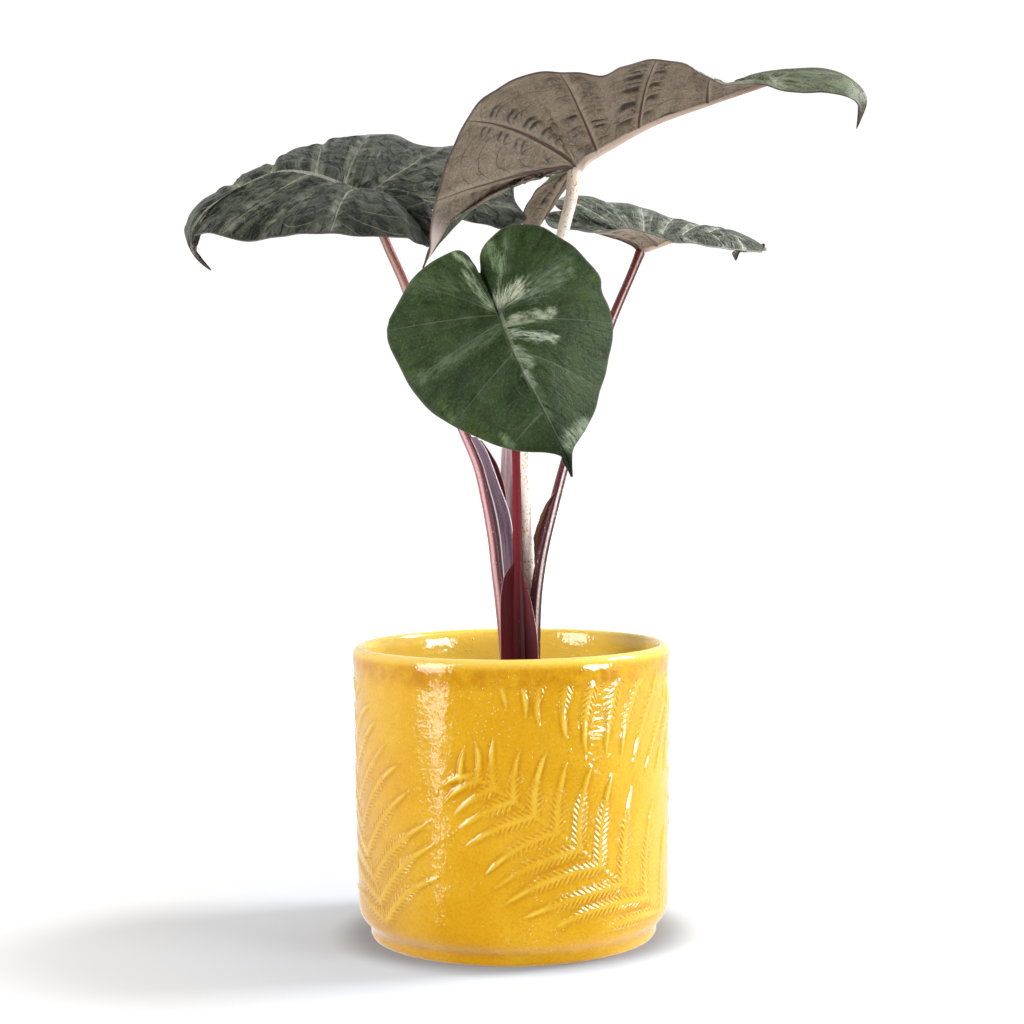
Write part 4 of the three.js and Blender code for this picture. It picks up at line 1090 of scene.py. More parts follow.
def lump(rng, centre, size, stretch, turn):
    """A small irregular lump: the round shape roughened, flattened, stretched and turned."""
    points = LUMP_POINTS * (1 + 0.28 * mesh_noise(LUMP_POINTS * 5, 2.0, rng.uniform(0, 50)))[:, None]
    points = points * np.array([stretch, 1.0, 0.75]) * size
    c, s = math.cos(turn), math.sin(turn)
    return points @ np.array([[c, s, 0], [-s, c, 0], [0, 0, 1.0]]) + centre


def lump_shape():
    """A round shape of few triangles, as points and triangles."""
    shape = bmesh.new()
    bmesh.ops.create_icosphere(shape, subdivisions=2, radius=1.0)
    points = np.array([v.co[:] for v in shape.verts])
    faces = np.array([[v.index for v in f.verts] for f in shape.faces])
    shape.free()
    return points, faces


LUMP_POINTS, LUMP_FACES = lump_shape()


def soil(material, bark, perlite):
    """The soil in the nursery pot, with crumbs, bark chips and perlite on top."""
    r_top = liner_inside(SOIL_EDGE) - 0.6
    radii = np.linspace(0, r_top, SOIL_RINGS + 1)[1:][::-1]
    theta = np.linspace(0, 2 * math.pi, SOIL_COLUMNS, endpoint=False)
    floor = LINER_BASE + LINER_WALL + SOIL_GAP
    rows = [
        np.stack([r * np.cos(theta), r * np.sin(theta), np.full(SOIL_COLUMNS, z)], -1)
        for r, z in ((liner_inside(floor) - 3, floor),
                     *((liner_inside(z), z) for z in (floor + 4, *SOIL_WALL)))
    ]
    for r in radii:
        x, y = r * np.cos(theta), r * np.sin(theta)
        rows.append(np.stack([x, y, soil_height(x, y)], -1))
    points = np.vstack([*rows, [[0, 0, floor], [0, 0, float(soil_height(np.zeros(1), np.zeros(1))[0])]]])
    groups = [grid_faces(len(rows), SOIL_COLUMNS), fans(len(rows), SOIL_COLUMNS)]
    indices = [np.zeros(sum(map(len, groups)))]
    rng = np.random.default_rng(11)
    for k in range(CRUMBS + PERLITE):
        white = k >= CRUMBS
        r = (r_top - 3) * math.sqrt(rng.uniform(0.01, 1))
        angle = rng.uniform(0, 2 * math.pi)
        x, y = r * math.cos(angle), r * math.sin(angle)
        chip = not white and rng.uniform() < CHIP_SHARE
        size = rng.uniform(*(PERLITE_SIZE if white else CRUMB_SIZE))
        stretch = rng.uniform(*(CHIP_STRETCH if chip else CRUMB_STRETCH))
        height = float(soil_height(np.array([x]), np.array([y]))[0])
        centre = np.array([x, y, height + size * rng.uniform(*LUMP_SETTLE)])
        piece = lump(rng, centre, size, stretch, rng.uniform(0, math.pi))
        groups.append(LUMP_FACES + len(points))
        indices.append(np.full(len(LUMP_FACES), 2 if white else int(chip)))
        points = np.vstack([points, piece])
    return make_mesh("potting_soil", points, groups, [material, bark, perlite], np.concatenate(indices))


# Materials


def srgb(code):
    """Linear colour from a six-digit screen colour."""
    parts = [int(code[i:i + 2], 16) / 255 for i in (0, 2, 4)]
    linear = [c / 12.92 if c <= 0.04045 else ((c + 0.055) / 1.055) ** 2.4 for c in parts]
    return (*linear, 1.0)


def operator(name, turned=False):
    """A Value's operator as a maths node; turned puts the other operand first."""
    def apply(value, other):
        return value.nodes.math(name, *((other, value) if turned else (value, other)))
    return apply


class Value:
    """A node's output, whose + - * / and abs each make one more node."""

    def __init__(self, nodes, socket):
        self.nodes = nodes
        self.socket = socket

    __add__ = operator("ADD")
    __sub__ = operator("SUBTRACT")
    __rsub__ = operator("SUBTRACT", turned=True)
    __mul__ = operator("MULTIPLY")
    __truediv__ = operator("DIVIDE")

    def __abs__(self):
        return self.nodes.math("ABSOLUTE", self)


class Nodes:
    """Short calls for a node tree."""

    def __init__(self, tree):
        self.tree = tree

    def put(self, socket, value):
        if isinstance(value, Value):
            self.tree.links.new(value.socket, socket)
        elif hasattr(socket, "default_value"):
            socket.default_value = value

    def node(self, kind, settings=None, output=0, **inputs):
        """A new node's output. An input is given by its name, or by its number as i0, i1 and so on."""
        node = self.tree.nodes.new(kind)
        for key, value in (settings or {}).items():
            setattr(node, key, value)
        for key, value in inputs.items():
            self.put(node.inputs[int(key[1:]) if key[1:].isdigit() else key.replace("_", " ")], value)
        return Value(self, node.outputs[output])

    def math(self, operation, a, b=0.0):
        return self.node("ShaderNodeMath", {"operation": operation}, i0=a, i1=b)

    def vector(self, operation, output=0, **inputs):
        return self.node("ShaderNodeVectorMath", {"operation": operation}, output, **inputs)

    def ramp(self, value, low, high, out_low=0.0, out_high=1.0, smooth=True):
        kind = "SMOOTHSTEP" if smooth else "LINEAR"
        return self.node("ShaderNodeMapRange", {"interpolation_type": kind}, Value=value, From_Min=low,
                         From_Max=high, To_Min=out_low, To_Max=out_high)

    def mix(self, factor, a, b):
        return self.node("ShaderNodeMix", {"data_type": "RGBA"}, output=2, i0=factor, i6=a, i7=b)

    def join(self, x, y, z):
        return self.node("ShaderNodeCombineXYZ", i0=x, i1=y, i2=z)

    def split(self, vector):
        parts = self.node("ShaderNodeSeparateXYZ", i0=vector).socket.node.outputs
        return [Value(self, part) for part in parts]

    def attribute(self, name):
        return self.split(self.node("ShaderNodeAttribute", {"attribute_name": name}, "Vector"))

    def place(self):
        return self.node("ShaderNodeTexCoord", output="Object")

    def rays(self, kind):
        return self.node("ShaderNodeLightPath", output=kind)

    def noise(self, scale, detail=3.0, roughness=0.55, vector=None, stretch=None):
        vector = vector or self.place()
        if stretch:
            vector = self.node("ShaderNodeMapping", Vector=vector, Scale=stretch)
        return self.node("ShaderNodeTexNoise", Vector=vector, Scale=scale, Detail=detail, Roughness=roughness)

    def cells(self, scale, feature="DISTANCE_TO_EDGE"):
        return self.node("ShaderNodeTexVoronoi", {"feature": feature}, Vector=self.place(), Scale=scale)

    def bump(self, height, strength, distance, **normal):
        return self.node("ShaderNodeBump", Height=height, Strength=strength, Distance=distance, **normal)


class Skin(Nodes):
    """A material with one shader, whose colour is laid on coat by coat."""

    def __init__(self, name):
        self.material = bpy.data.materials.new(name)
        self.material.use_nodes = True
        super().__init__(self.material.node_tree)
        self.tree.nodes.clear()
        self.shader = self.tree.nodes.new("ShaderNodeBsdfPrincipled")
        self.output = self.tree.nodes.new("ShaderNodeOutputMaterial")
        self.tree.links.new(self.shader.outputs[0], self.output.inputs["Surface"])
        self.colour = None

    def start(self, mask, low, high):
        self.colour = self.mix(mask, srgb(low), srgb(high))

    def over(self, mask, tint):
        """Lay a screen colour, or a colour value, over the colour where the mask is 1."""
        self.colour = self.mix(mask, self.colour, tint if isinstance(tint, Value) else srgb(tint))

    def finish(self, **inputs):
        for key, value in {"Base_Color": self.colour, **inputs}.items():
            self.put(self.shader.inputs[key.replace("_", " ")], value)
        return self.material


# Noise for a leaf, as (across the side veins, along them, along the midrib, detail, roughness).
FOLD_STREAKS = (5.5, 0.045, 3.0, 5.0, 0.7)
CREASE_STREAKS = (3.4, 0.06, 2.0, 2.0, 0.5)
HIGHLIGHT_STREAKS = (11.0, 0.16, 9.0, 5.0, 0.75)
NET_SCALE = 520.0


def leaf_masks(n, look):
    """The leaf's net as masks: midrib, side veins, veinlets, pillows by the veins and a fine mesh."""
    q, r, gap = n.attribute("vein")
    w, at, _ = n.attribute("blade")
    centred = n.math("FRACT", q) - 0.5
    to_vein = (0.5 - abs(centred)) * gap
    arch = 1.0 - centred * centred * 4.0
    bend = arch * n.math("MINIMUM", gap, GAP_MOST) * (0.5 * look.veinlet_slant)
    wander = (n.noise(90.0) - 0.5) * look.veinlet_wander
    phase = n.math("FRACT", (r - bend + wander) / look.veinlet_pitch + 1000.0)
    to_veinlet = (0.5 - abs(phase - 0.5)) * look.veinlet_pitch
    vein_width = n.ramp(w, 0.0, 1.0, look.vein_width, 0.25 * look.vein_width, smooth=False)
    rib_width = n.ramp(at, 0.0, 1.0, look.midrib_width, 0.25 * look.midrib_width, smooth=False)
    nearest = n.math("ROUND", q)
    warp = (n.noise(95.0, 4.0, 0.65) - 0.5) * look.pillow_warp
    swing = n.math("SINE", r * PILLOW_WAVE + nearest * PILLOW_TURN)
    moved = r + swing * PILLOW_WANDER + warp
    beside = to_vein + warp * 0.6
    beat = n.math("COSINE", moved * (2 * math.pi / look.pillow_pitch))
    pillow = n.ramp(beat, -0.3, 0.9) * n.ramp(beside, 0.9, 2.6)
    pillow = pillow * n.ramp(beside, *look.pillow_reach, 1.0, 0.0)
    pillow = pillow * n.ramp(w, 0.03, 0.12) * n.ramp(w, 0.75, 0.97, 1.0, 0.0)

    def streaks(across, lengthwise, by_rib, detail, roughness):
        return n.noise(1.0, detail, roughness, n.join(q * across, r * lengthwise, at * by_rib))

    return SimpleNamespace(
        w=w, at=at, to_vein=to_vein, pillow=pillow, streaks=streaks, folds=streaks(*FOLD_STREAKS),
        vein=n.ramp(to_vein / vein_width, 0.6, 1.15, 1.0, 0.0),
        veinlet=n.ramp(to_veinlet, 0.1, 0.38, 1.0, 0.0) * n.ramp(n.noise(55.0), 0.4, 0.58),
        rib=n.ramp(r / rib_width, 0.75, 1.1, 1.0, 0.0),
        net=n.ramp(n.cells(NET_SCALE), 0.0, 0.16, 1.0, 0.0))


def near_point(n, place, least, most):
    """1 within the least distance of a point in millimetres, then falling to 0 at the most."""
    away = n.vector("DISTANCE", 1, i0=n.place(), i1=Vector(place) * MM)
    return n.ramp(away, least * MM, most * MM, 1.0, 0.0)


def near_line(n, start, end, reach):
    """1 on a line from (x, z) to (x, z) in millimetres, seen along Y, falling to 0 at its reach."""
    start, end = (Vector((x, 0, z)) * MM for x, z in (start, end))
    line = end - start
    flat = n.vector("MULTIPLY", i0=n.place(), i1=(1, 0, 1))
    away = n.vector("SUBTRACT", i0=flat, i1=start)
    share = n.vector("DOT_PRODUCT", 1, i0=away, i1=line / line.length_squared)
    share = n.math("MINIMUM", n.math("MAXIMUM", share, 0.0), 1.0)
    foot = n.vector("SCALE", i0=line, Scale=share)
    return n.ramp(n.vector("DISTANCE", 1, i0=away, i1=foot), 0.0, reach * MM, 1.0, 0.0)


def paint_highlights(n, m, glows):
    """Painted highlights: streaky pale patches laid into the leaf's colour."""
    streaky = m.streaks(*HIGHLIGHT_STREAKS)
    for start, end, reach, tint, much in glows:
        highlight_reach = near_line(n, start, end, reach)
        painted_shine = n.ramp(highlight_reach * 0.2 + streaky, 0.53, 0.82) * n.ramp(highlight_reach, 0.0, 0.9)
        n.over(painted_shine * much, tint)


def upper_face(name, look, base, shade, ridge, rib, roughness, strength, fresh=None):
    """The upper side of a blade: satin green, with painted shade in its valleys and creases, paler along its
    veins, and painted highlights on its fold crests and in its glow list.
    """
    n = Skin(name)
    m = leaf_masks(n, look)
    n.start(n.ramp(n.noise(34.0, 4.0), 0.35, 0.7), base, shade)
    if fresh:
        patch = n.ramp(n.noise(26.0, 3.0, 0.6), 0.5, 0.72, 0.0, 0.6)
        n.over(patch * n.ramp(m.w, 0.45, 0.9), fresh)
    # Painted shade: darker in the fold valleys and along the creases.
    n.over(n.ramp(m.folds, 0.5, 0.36, 0.0, look.fold), look.deep)
    crease = n.ramp(abs(m.streaks(*CREASE_STREAKS) - 0.5), 0.01, 0.07, 1.0, 0.0)
    n.over(crease * look.crease, look.deep)
    # Painted shade: back to the dark base colour in the valleys by the veins.
    n.over(n.ramp(m.to_vein, 0.5, 3.5, look.valley, 0.0), base)
    # Pale along the veins and veinlets, partly their own colour and partly painted sheen; pale on the fold
    # crests is painted highlight.
    crest = n.ramp(m.to_vein, 1.2, look.ridge_reach, 1.0, 0.0)
    pale = crest * n.ramp(n.noise(150.0), 0.35, 0.7) * (0.6 * strength)
    pale = n.math("MAXIMUM", pale, m.veinlet * (0.4 * strength))
    pale = n.math("MAXIMUM", pale, n.ramp(m.folds, 0.54, 0.74, 0.0, 0.7 * look.fold * strength))
    n.over(pale, ridge)
    n.over(m.vein * (0.8 * strength), rib)
    n.over(m.rib * 0.75, rib)
    # Painted highlights, from the look's list.
    if look.glows:
        paint_highlights(n, m, look.glows)
    speck = n.noise(1100.0, 2.0, 0.7)
    n.over(n.ramp(speck, 0.5, 0.75, 0.0, look.speck), ridge)
    n.over(n.ramp(speck, 0.5, 0.25, 0.0, 0.5), look.deep)
    n.over(n.ramp(m.w, 0.97, 1.0, 0.0, 0.6), look.edge)
    n.over(n.ramp(m.at, look.tip_from, look.tip_from + 0.08, 0.0, 0.85), look.tip)
    height = n.noise(380.0, 4.0) * 0.8 + m.net * -0.2 + m.veinlet * -0.35
    normal = n.bump(height, look.bump, 0.0004)
    normal = n.bump(m.folds, 0.8, look.fold_rise, Normal=normal)
    normal = n.bump(1.0 - crease, look.crease, 0.0009, Normal=normal)
    rough = n.ramp(n.noise(120.0), 0.3, 0.7, roughness - 0.07, roughness + 0.08)
    return n.finish(Roughness=rough, Normal=normal, Specular_IOR_Level=look.gloss)


def under_face(name, look, base, shade, vein_colour, rib_pale, roughness):
    """The underside of a blade: matt, with dark raised veins, painted shade in the hollows by them and in its
    folds, and a pale midrib.
    """
    n = Skin(name)
    m = leaf_masks(n, look)
    n.start(n.ramp(n.noise(30.0, 4.0), 0.35, 0.7), base, shade)
    # Painted shade in the fold valleys, and painted highlight on the fold crests.
    n.over(n.ramp(m.folds, 0.5, 0.34, 0.0, 0.45), look.hollow)
    n.over(n.ramp(m.folds, 0.55, 0.72, 0.0, 0.45), look.pale)
    grain = n.noise(900.0, 2.0, 0.8)
    n.over(n.ramp(grain, 0.5, 0.72, 0.0, 0.55), look.pale)
    n.over(n.ramp(grain, 0.5, 0.28, 0.0, 0.55), look.hollow)
    # Painted shade in the dimples by the veins.
    dimple = m.pillow * n.ramp(n.noise(40.0), 0.42, 0.54)
    n.over(dimple * look.hollow_dark, look.hollow)
    n.over(m.veinlet * 0.8, vein_colour)
    n.over(m.net * 0.15, vein_colour)
    n.over(n.ramp(m.to_vein, 0.8, 2.4, 1.0, 0.0) * 0.35, look.pale)
    n.over(m.vein * 0.92, vein_colour)
    rib_colour = n.mix(n.ramp(m.at, 0.0, 0.75), srgb(rib_pale), srgb(vein_colour))
    streak = n.ramp(n.noise(240.0, 3.0, 0.6, stretch=(0.3, 1.0, 1.0)), 0.45, 0.8, 0.0, 0.4)
    n.over(m.rib, n.mix(streak, rib_colour, srgb("b5796c")))
    # Painted highlights: pale patches from the look's list.
    for place, least, most, tint, much in look.under_glows:
        n.over(near_point(n, place, least, most) * much, tint)
    n.over(n.ramp(m.w, 0.98, 1.0, 0.0, 0.7), look.edge)
    n.over(n.ramp(m.at, 0.88, 0.97, 0.0, 0.85), look.tip)
    height = n.noise(380.0, 4.0) * 0.7 + m.net * 0.25 + m.veinlet * 0.7
    normal = n.bump(height, look.bump, 0.0004)
    normal = n.bump(dimple, 0.5, 0.0018, Normal=normal)
    normal = n.bump(m.folds, 0.5, 0.0015, Normal=normal)
    return n.finish(Roughness=roughness, Normal=normal, Specular_IOR_Level=0.3)


def plain(name, colour, shade, roughness, scale=60.0, bump=0.2):
    n = Skin(name)
    n.start(n.ramp(n.noise(scale, 4.0), 0.35, 0.7), colour, shade)
    return n.finish(Roughness=roughness, Normal=n.bump(n.noise(scale * 8), bump, 0.0003))


def strand_parts(n):
    """A stalk's height along it, its flaps' place across, and a maker of vectors for noise in them."""
    turn, height, w = n.attribute("strand")

    def vector(across, lengthwise):
        return n.join(turn * across, height * lengthwise, w * across)
    return height, w, vector


def stalk_skin(name, left, right, rise, speck, speck_from, split=0.25, roughness=0.38, coat=0.2, highlight_stripe=None):
    """A stalk's core. left and right are (low, high) colours on its two sides, changing over rise; they paint
    light on one side and shade on the other.

    A highlight stripe is a painted highlight down the stalk: its place across, half its width, its colour and
    how strong it is.
    """
    n = Skin(name)
    height, _, vector = strand_parts(n)
    facing = n.node("ShaderNodeAttribute", {"attribute_name": "facing"}, "Fac")
    up = n.ramp(height, *rise)
    sides = [n.mix(up, srgb(low), srgb(high)) for low, high in (left, right)]
    streaks = vector(3.2, 0.045)
    wander = (n.noise(1.0, vector=streaks) - 0.5) * 1.1
    # Painted light and shade: each side of the stalk takes the left or right colours by which way it faces.
    n.colour = n.mix(n.ramp(facing + wander, split - 0.35, split + 0.35), *sides)
    grain = vector(2.4, 0.5)
    fine = n.noise(1.6, 4.0, 0.7, grain)
    n.over(n.ramp(fine, 0.3, 0.75, 0.0, 0.35), right[0])
    # A painted highlight: a pale stripe down the stalk.
    if highlight_stripe:
        centre, half_width, tint, strength = highlight_stripe
        band = n.ramp(abs(facing + wander * 0.25 - centre), 0.3 * half_width, half_width, strength, 0.0)
        n.over(band * n.ramp(fine, 0.3, 0.55, 0.45, 1.0), tint)
    n.over(n.ramp(n.noise(1.1, 2.0, 0.8, grain), speck_from, speck_from + 0.08), speck)
    normal = n.bump(fine + n.noise(1.0, 2.0, vector=streaks), 0.35, 0.0004)
    return n.finish(Roughness=roughness, Normal=normal, Coat_Weight=coat, Coat_Roughness=0.25,
                    Specular_IOR_Level=0.12)


def wing_skin(name, base, streak, margin, low=None, roughness=0.45, coat=0.1, inner=None):
    """A sheath flap: fine streaks along it and a thin pale margin. inner colours the strip by the stalk."""
    n = Skin(name)
    height, w, vector = strand_parts(n)
    lines = n.noise(1.0, 3.0, 0.6, vector(7.0, 0.03))
    n.start(n.ramp(lines, 0.38, 0.66) * 0.75, base, streak)
    if low:
        n.over(n.ramp(height, 125.0, 165.0, 1.0, 0.0), low)
    n.over(n.ramp(n.noise(1.0, 3.0, 0.7, vector(5.0, 0.6)), 0.45, 0.8, 0.0, 0.35), streak)
    if inner:
        n.over(n.ramp(w, 0.3, 0.36, 0.9, 0.0), inner[0])
        n.over(n.ramp(abs(w - 0.36), 0.015, 0.045, 0.8, 0.0), inner[1])
    n.over(n.ramp(w, 0.95, 0.985), margin)
    return n.finish(Roughness=roughness, Normal=n.bump(lines, 0.4, 0.0004), Coat_Weight=coat,
                    Coat_Roughness=0.2, Specular_IOR_Level=0.1)


def glaze():
    """Amber-yellow reactive glaze: paler where it thins over the relief, darker where it pools, with painted
    light on its right side and its inside, and painted glints.
    """
    n = Skin("amber_glaze")
    relief, around, pool = n.attribute("glaze")
    place, turned, inside = n.attribute("leaflet")
    off = abs(turned)
    half_turn = n.math("GREATER_THAN", turned, 0.0) * 0.5
    phase = place - off * (PINNULE_SLANT / PINNULE_PITCH) + half_turn
    tooth = n.math("COSINE", phase * (2 * math.pi))
    tooth = tooth * (n.ramp(inside, 0.03, 0.3) * n.ramp(off, 0.4, 1.8))
    x, _, z = n.split(n.place())
    n.start(n.ramp(n.noise(26.0, 4.0, 0.6), 0.32, 0.7), "d8a11a", "e2b22e")
    # Painted light: the glaze lighter towards its right side.
    n.over(n.ramp(x, 0.0, POT_RIM * MM, 0.0, 0.5), "ecc430")
    n.over(n.ramp(n.noise(900.0, 3.0, 0.75), 0.35, 0.75, 0.0, 0.5), "c08412")
    n.over(n.ramp(around - relief, 0.02, 0.3, 0.0, 0.8), "b9790c")
    n.over(n.ramp(tooth, 0.0, -0.8, 0.0, 0.55), "b9790c")
    n.over(n.ramp(relief, 0.3, 0.95, 0.0, 0.8), "edcf55")
    n.over(pool * n.ramp(n.noise(140.0, 4.0, 0.7), 0.35, 0.65, 0.1, 0.75), "bb790e")
    # Painted light: the pot's inside brighter.
    n.over(n.ramp(pool, -1.0, 0.0, 0.9, 0.0, smooth=False), "fcd054")
    n.over(n.ramp(z, *(height * MM for height in RIM_PALE), 0.0, 0.7), "f8da6a")
    pits = n.ramp(n.cells(440.0, "F1"), 0.0, 0.17, 1.0, 0.0) * n.ramp(n.noise(70.0, 2.0), 0.48, 0.6)
    n.over(pits * 0.5, "a06a0a")
    # Painted glints: small white specks.
    painted_glints = n.ramp(n.cells(520.0, "F1"), 0.06, 0.13, 1.0, 0.0) * n.ramp(n.noise(38.0, 2.0), 0.5, 0.6)
    n.over(painted_glints * 0.85, "fff4d2")
    normal = n.bump(n.noise(420.0) + tooth * 0.7, 0.38, 0.0004)
    normal = n.bump(n.noise(130.0, 3.0, 0.6), 0.36, 0.0011, Normal=normal)
    normal = n.bump(pits, 0.9, 0.0004, Normal=normal)
    return n.finish(Roughness=0.6, Normal=normal, Specular_IOR_Level=0.0, Coat_Weight=1.0,
                    Coat_Roughness=0.025, Coat_IOR=1.55, Coat_Normal=normal)


def soil_skin():
    n = Skin("potting_soil")
    cloud = n.noise(240.0, 5.0, 0.7)
    fibre = n.noise(900.0, 3.0, 0.7, stretch=(1.0, 0.25, 1.0))
    n.start(n.ramp(cloud, 0.3, 0.7), "1e140d", "43301f")
    n.over(n.ramp(fibre, 0.6, 0.75, 0.0, 0.6), "7a5a38")
    return n.finish(Roughness=0.95, Normal=n.bump(cloud + fibre * 0.5, 0.9, 0.0008))


def moulded_plastic():
    n = Skin("nursery_plastic")
    scuff = n.noise(60.0, 4.0, 0.6, stretch=(1.0, 1.0, 4.0))
    n.start(n.ramp(scuff, 0.45, 0.75, 0.0, 0.5), "17171a", "2c2c30")
    grain = n.noise(1500.0, 3.0, 0.6)
    return n.finish(Roughness=n.ramp(scuff, 0.35, 0.7, 0.42, 0.6), Normal=n.bump(grain, 0.3, 0.0002))


def cork_skin():
    n = Skin("rootstock_cork")
    rings = n.noise(140.0, 4.0, 0.6, stretch=(1.0, 1.0, 5.0))
    n.start(n.ramp(rings, 0.35, 0.7), "6a4c32", "9a7a56")
    return n.finish(Roughness=0.85, Normal=n.bump(rings, 0.8, 0.001))


# How a blade is shaped and coloured. Its lengths are in millimetres, but fold_rise, the height of its
# folds' bump, is in metres. calm is where along the midrib the quilting is gone, and where it is full.
# The fold, crease, valley and dimple strengths set painted shade in the colour, and the glow lists hold
# painted highlights.
BLADE_LOOK = dict(
    quilt=0.7, veinlet_pitch=8.0, veinlet_slant=1.1, veinlet_depth=0.25, veinlet_wander=3.0, pillow=0.5,
    pillow_pitch=7.0, pillow_reach=(4.0, 8.0), pillow_warp=7.0, ruffle=0.5, crumple=0.25, seed=1.0,
    skew=1.0, knot=1.4, thickness=0.6, vein_width=0.6, vein_height=0.45, midrib_width=1.9,
    midrib_height=2.0, ridge_reach=4.5, valley=0.6, bump=0.6, fold=0.6, fold_rise=0.0014, crease=0.3,
    speck=0.3, gloss=0.16, deep="171b14", hollow_dark=0.8, hollow="2e2620", pale="9c8e78",
    edge="4a3f3a", tip="2a211d", tip_from=0.87, calm=(0.92, 0.72), glows=(), under_glows=(),
)


def look_with(**changes):
    return SimpleNamespace(**{**BLADE_LOOK, **changes})


# Painted highlights on the front leaf, where it shines: from and to as (x, z), its reach, colour and
# strength.
FRONT_PAINTED_HIGHLIGHTS = (
    ((-43.1, 281.7), (-17.1, 282.6), 9.0, "62704f", 0.5),
    ((-35.9, 243.9), (-3.7, 263.0), 6.5, "6a775e", 0.6),
    ((-3.5, 282.0), (0.3, 304.2), 3.0, "76866a", 0.75),
    ((10.5, 278.5), (24.0, 288.5), 10.0, "71836e", 0.7),
    ((-3.4, 275.2), (6.0, 280.8), 8.2, "d2d7bb", 0.9),
    ((0.4, 265.9), (17.6, 269.8), 5.8, "b2bb9e", 0.8),
    ((3.0, 260.9), (19.0, 259.5), 4.8, "c3ccb6", 0.85),
    ((3.0, 254.1), (8.6, 249.0), 6.0, "94a28c", 0.8),
    ((7.1, 244.4), (10.2, 240.1), 3.4, "b2bda8", 0.85),
    ((8.2, 243.8), (17.8, 226.7), 4.4, "6d7c64", 0.6),
    ((-7.7, 298.9), (-2.7, 289.2), 6.4, "879a78", 0.8),
    ((-22.0, 295.5), (-15.6, 290.0), 3.2, "a3b290", 0.85),
    ((-17.0, 287.0), (-7.2, 272.4), 4.2, "9dac8c", 0.8),
    ((24.0, 216.0), (32.0, 223.7), 7.4, "99a48c", 0.8),
    ((-27.5, 232.5), (-23.5, 226.6), 4.6, "5f7a44", 0.5),
    ((-2.7, 219.5), (1.3, 215.2), 3.6, "7c9068", 0.6),
)
# A painted highlight, a pale patch under the top leaf: its place, how far it is full and ends, colour and
# strength.
TOP_PAINTED_HIGHLIGHTS = (((-34.5, -39, 294), 4, 21, "e2cfc8", 0.9),)
LEFT_LOOK = look_with(quilt=1.8, veinlet_depth=0.4, pillow=0.8, crumple=0.7, ruffle=0.6, fold=0.8,
                      veinlet_wander=1.6, crease=0.75, speck=0.12, fold_rise=0.003, deep="0f130e")
TOP_LOOK = look_with(quilt=0.5, veinlet_pitch=11.0, pillow=1.6, pillow_pitch=6.2, pillow_reach=(5.5, 10.5),
                     calm=(0.62, 0.45), seed=3.0, vein_height=0.5, midrib_width=1.7, hollow_dark=0.95,
                     edge="3a2a26", tip="241a18", under_glows=TOP_PAINTED_HIGHLIGHTS)
FRONT_LOOK = look_with(quilt=0.6, veinlet_depth=0.08, pillow=0.12, crumple=0.2, seed=5.0, skew=0.62,
                       veinlet_wander=1.2, gloss=0.07, crease=0.25, speck=0.42, vein_width=0.4,
                       midrib_width=1.1, fold=0.45, deep="19230f", tip="1a1d18", tip_from=0.78,
                       edge="55584a", glows=FRONT_PAINTED_HIGHLIGHTS)
RIGHT_LOOK = look_with(quilt=1.2, seed=9.0, midrib_height=1.6, crumple=0.4, fold=0.8, calm=(0.6, 0.42),
                       veinlet_wander=1.6, crease=0.6, speck=0.12, fold_rise=0.002, tip_from=0.96,
                       tip="4a4a42", edge="86887a")

# The dressed part


def dress(piece, node, slot):
    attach(piece, "root")
    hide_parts(node)


def leaf(side, shape, look, slot, upper, under, rim, **fresh):
    name = "leaf_" + side
    skins = (upper_face(name + "_upper", look, *upper, **fresh), under_face(name + "_under", look, *under),
             plain(name + "_rim", *rim))
    dress(blade(name, shape, look, *skins), "blade_" + side, slot)


def leaves():
    leaf("left", LEAF_LEFT, LEFT_LOOK, "leaf_grey_green",
         ("30342a", "4e5246", "9a9c8a", "a3a494", 0.46, 0.85),
         ("756a5a", "665c4e", "4c2c28", "d2b0a0", 0.5), ("4a3f3a", "5e524a", 0.45))
    leaf("top", LEAF_TOP, TOP_LOOK, "leaf_brown",
         ("4c5640", "646d52", "98a080", "7e866a", 0.46, 0.5),
         ("857764", "6d604f", "40231f", "d9c3b2", 0.55), ("4a332c", "5e463c", 0.45))
    leaf("front", LEAF_FRONT, FRONT_LOOK, "leaf_glossy_green",
         ("293820", "374a28", "5a684c", "6c785e", 0.48, 0.6),
         ("6f6a55", "605a48", "4a2e2a", "c9a898", 0.45), ("4a4a3c", "5a5a4a", 0.4), fresh="4c6426")
    leaf("right", LEAF_RIGHT, RIGHT_LOOK, "leaf_grey_green",
         ("444c3d", "5e6654", "ccd0c2", "d2d4c8", 0.48, 0.9),
         ("b09f8c", "9a8a78", "5a3a34", "dcc4b4", 0.5), ("74766a", "86887a", 0.45))


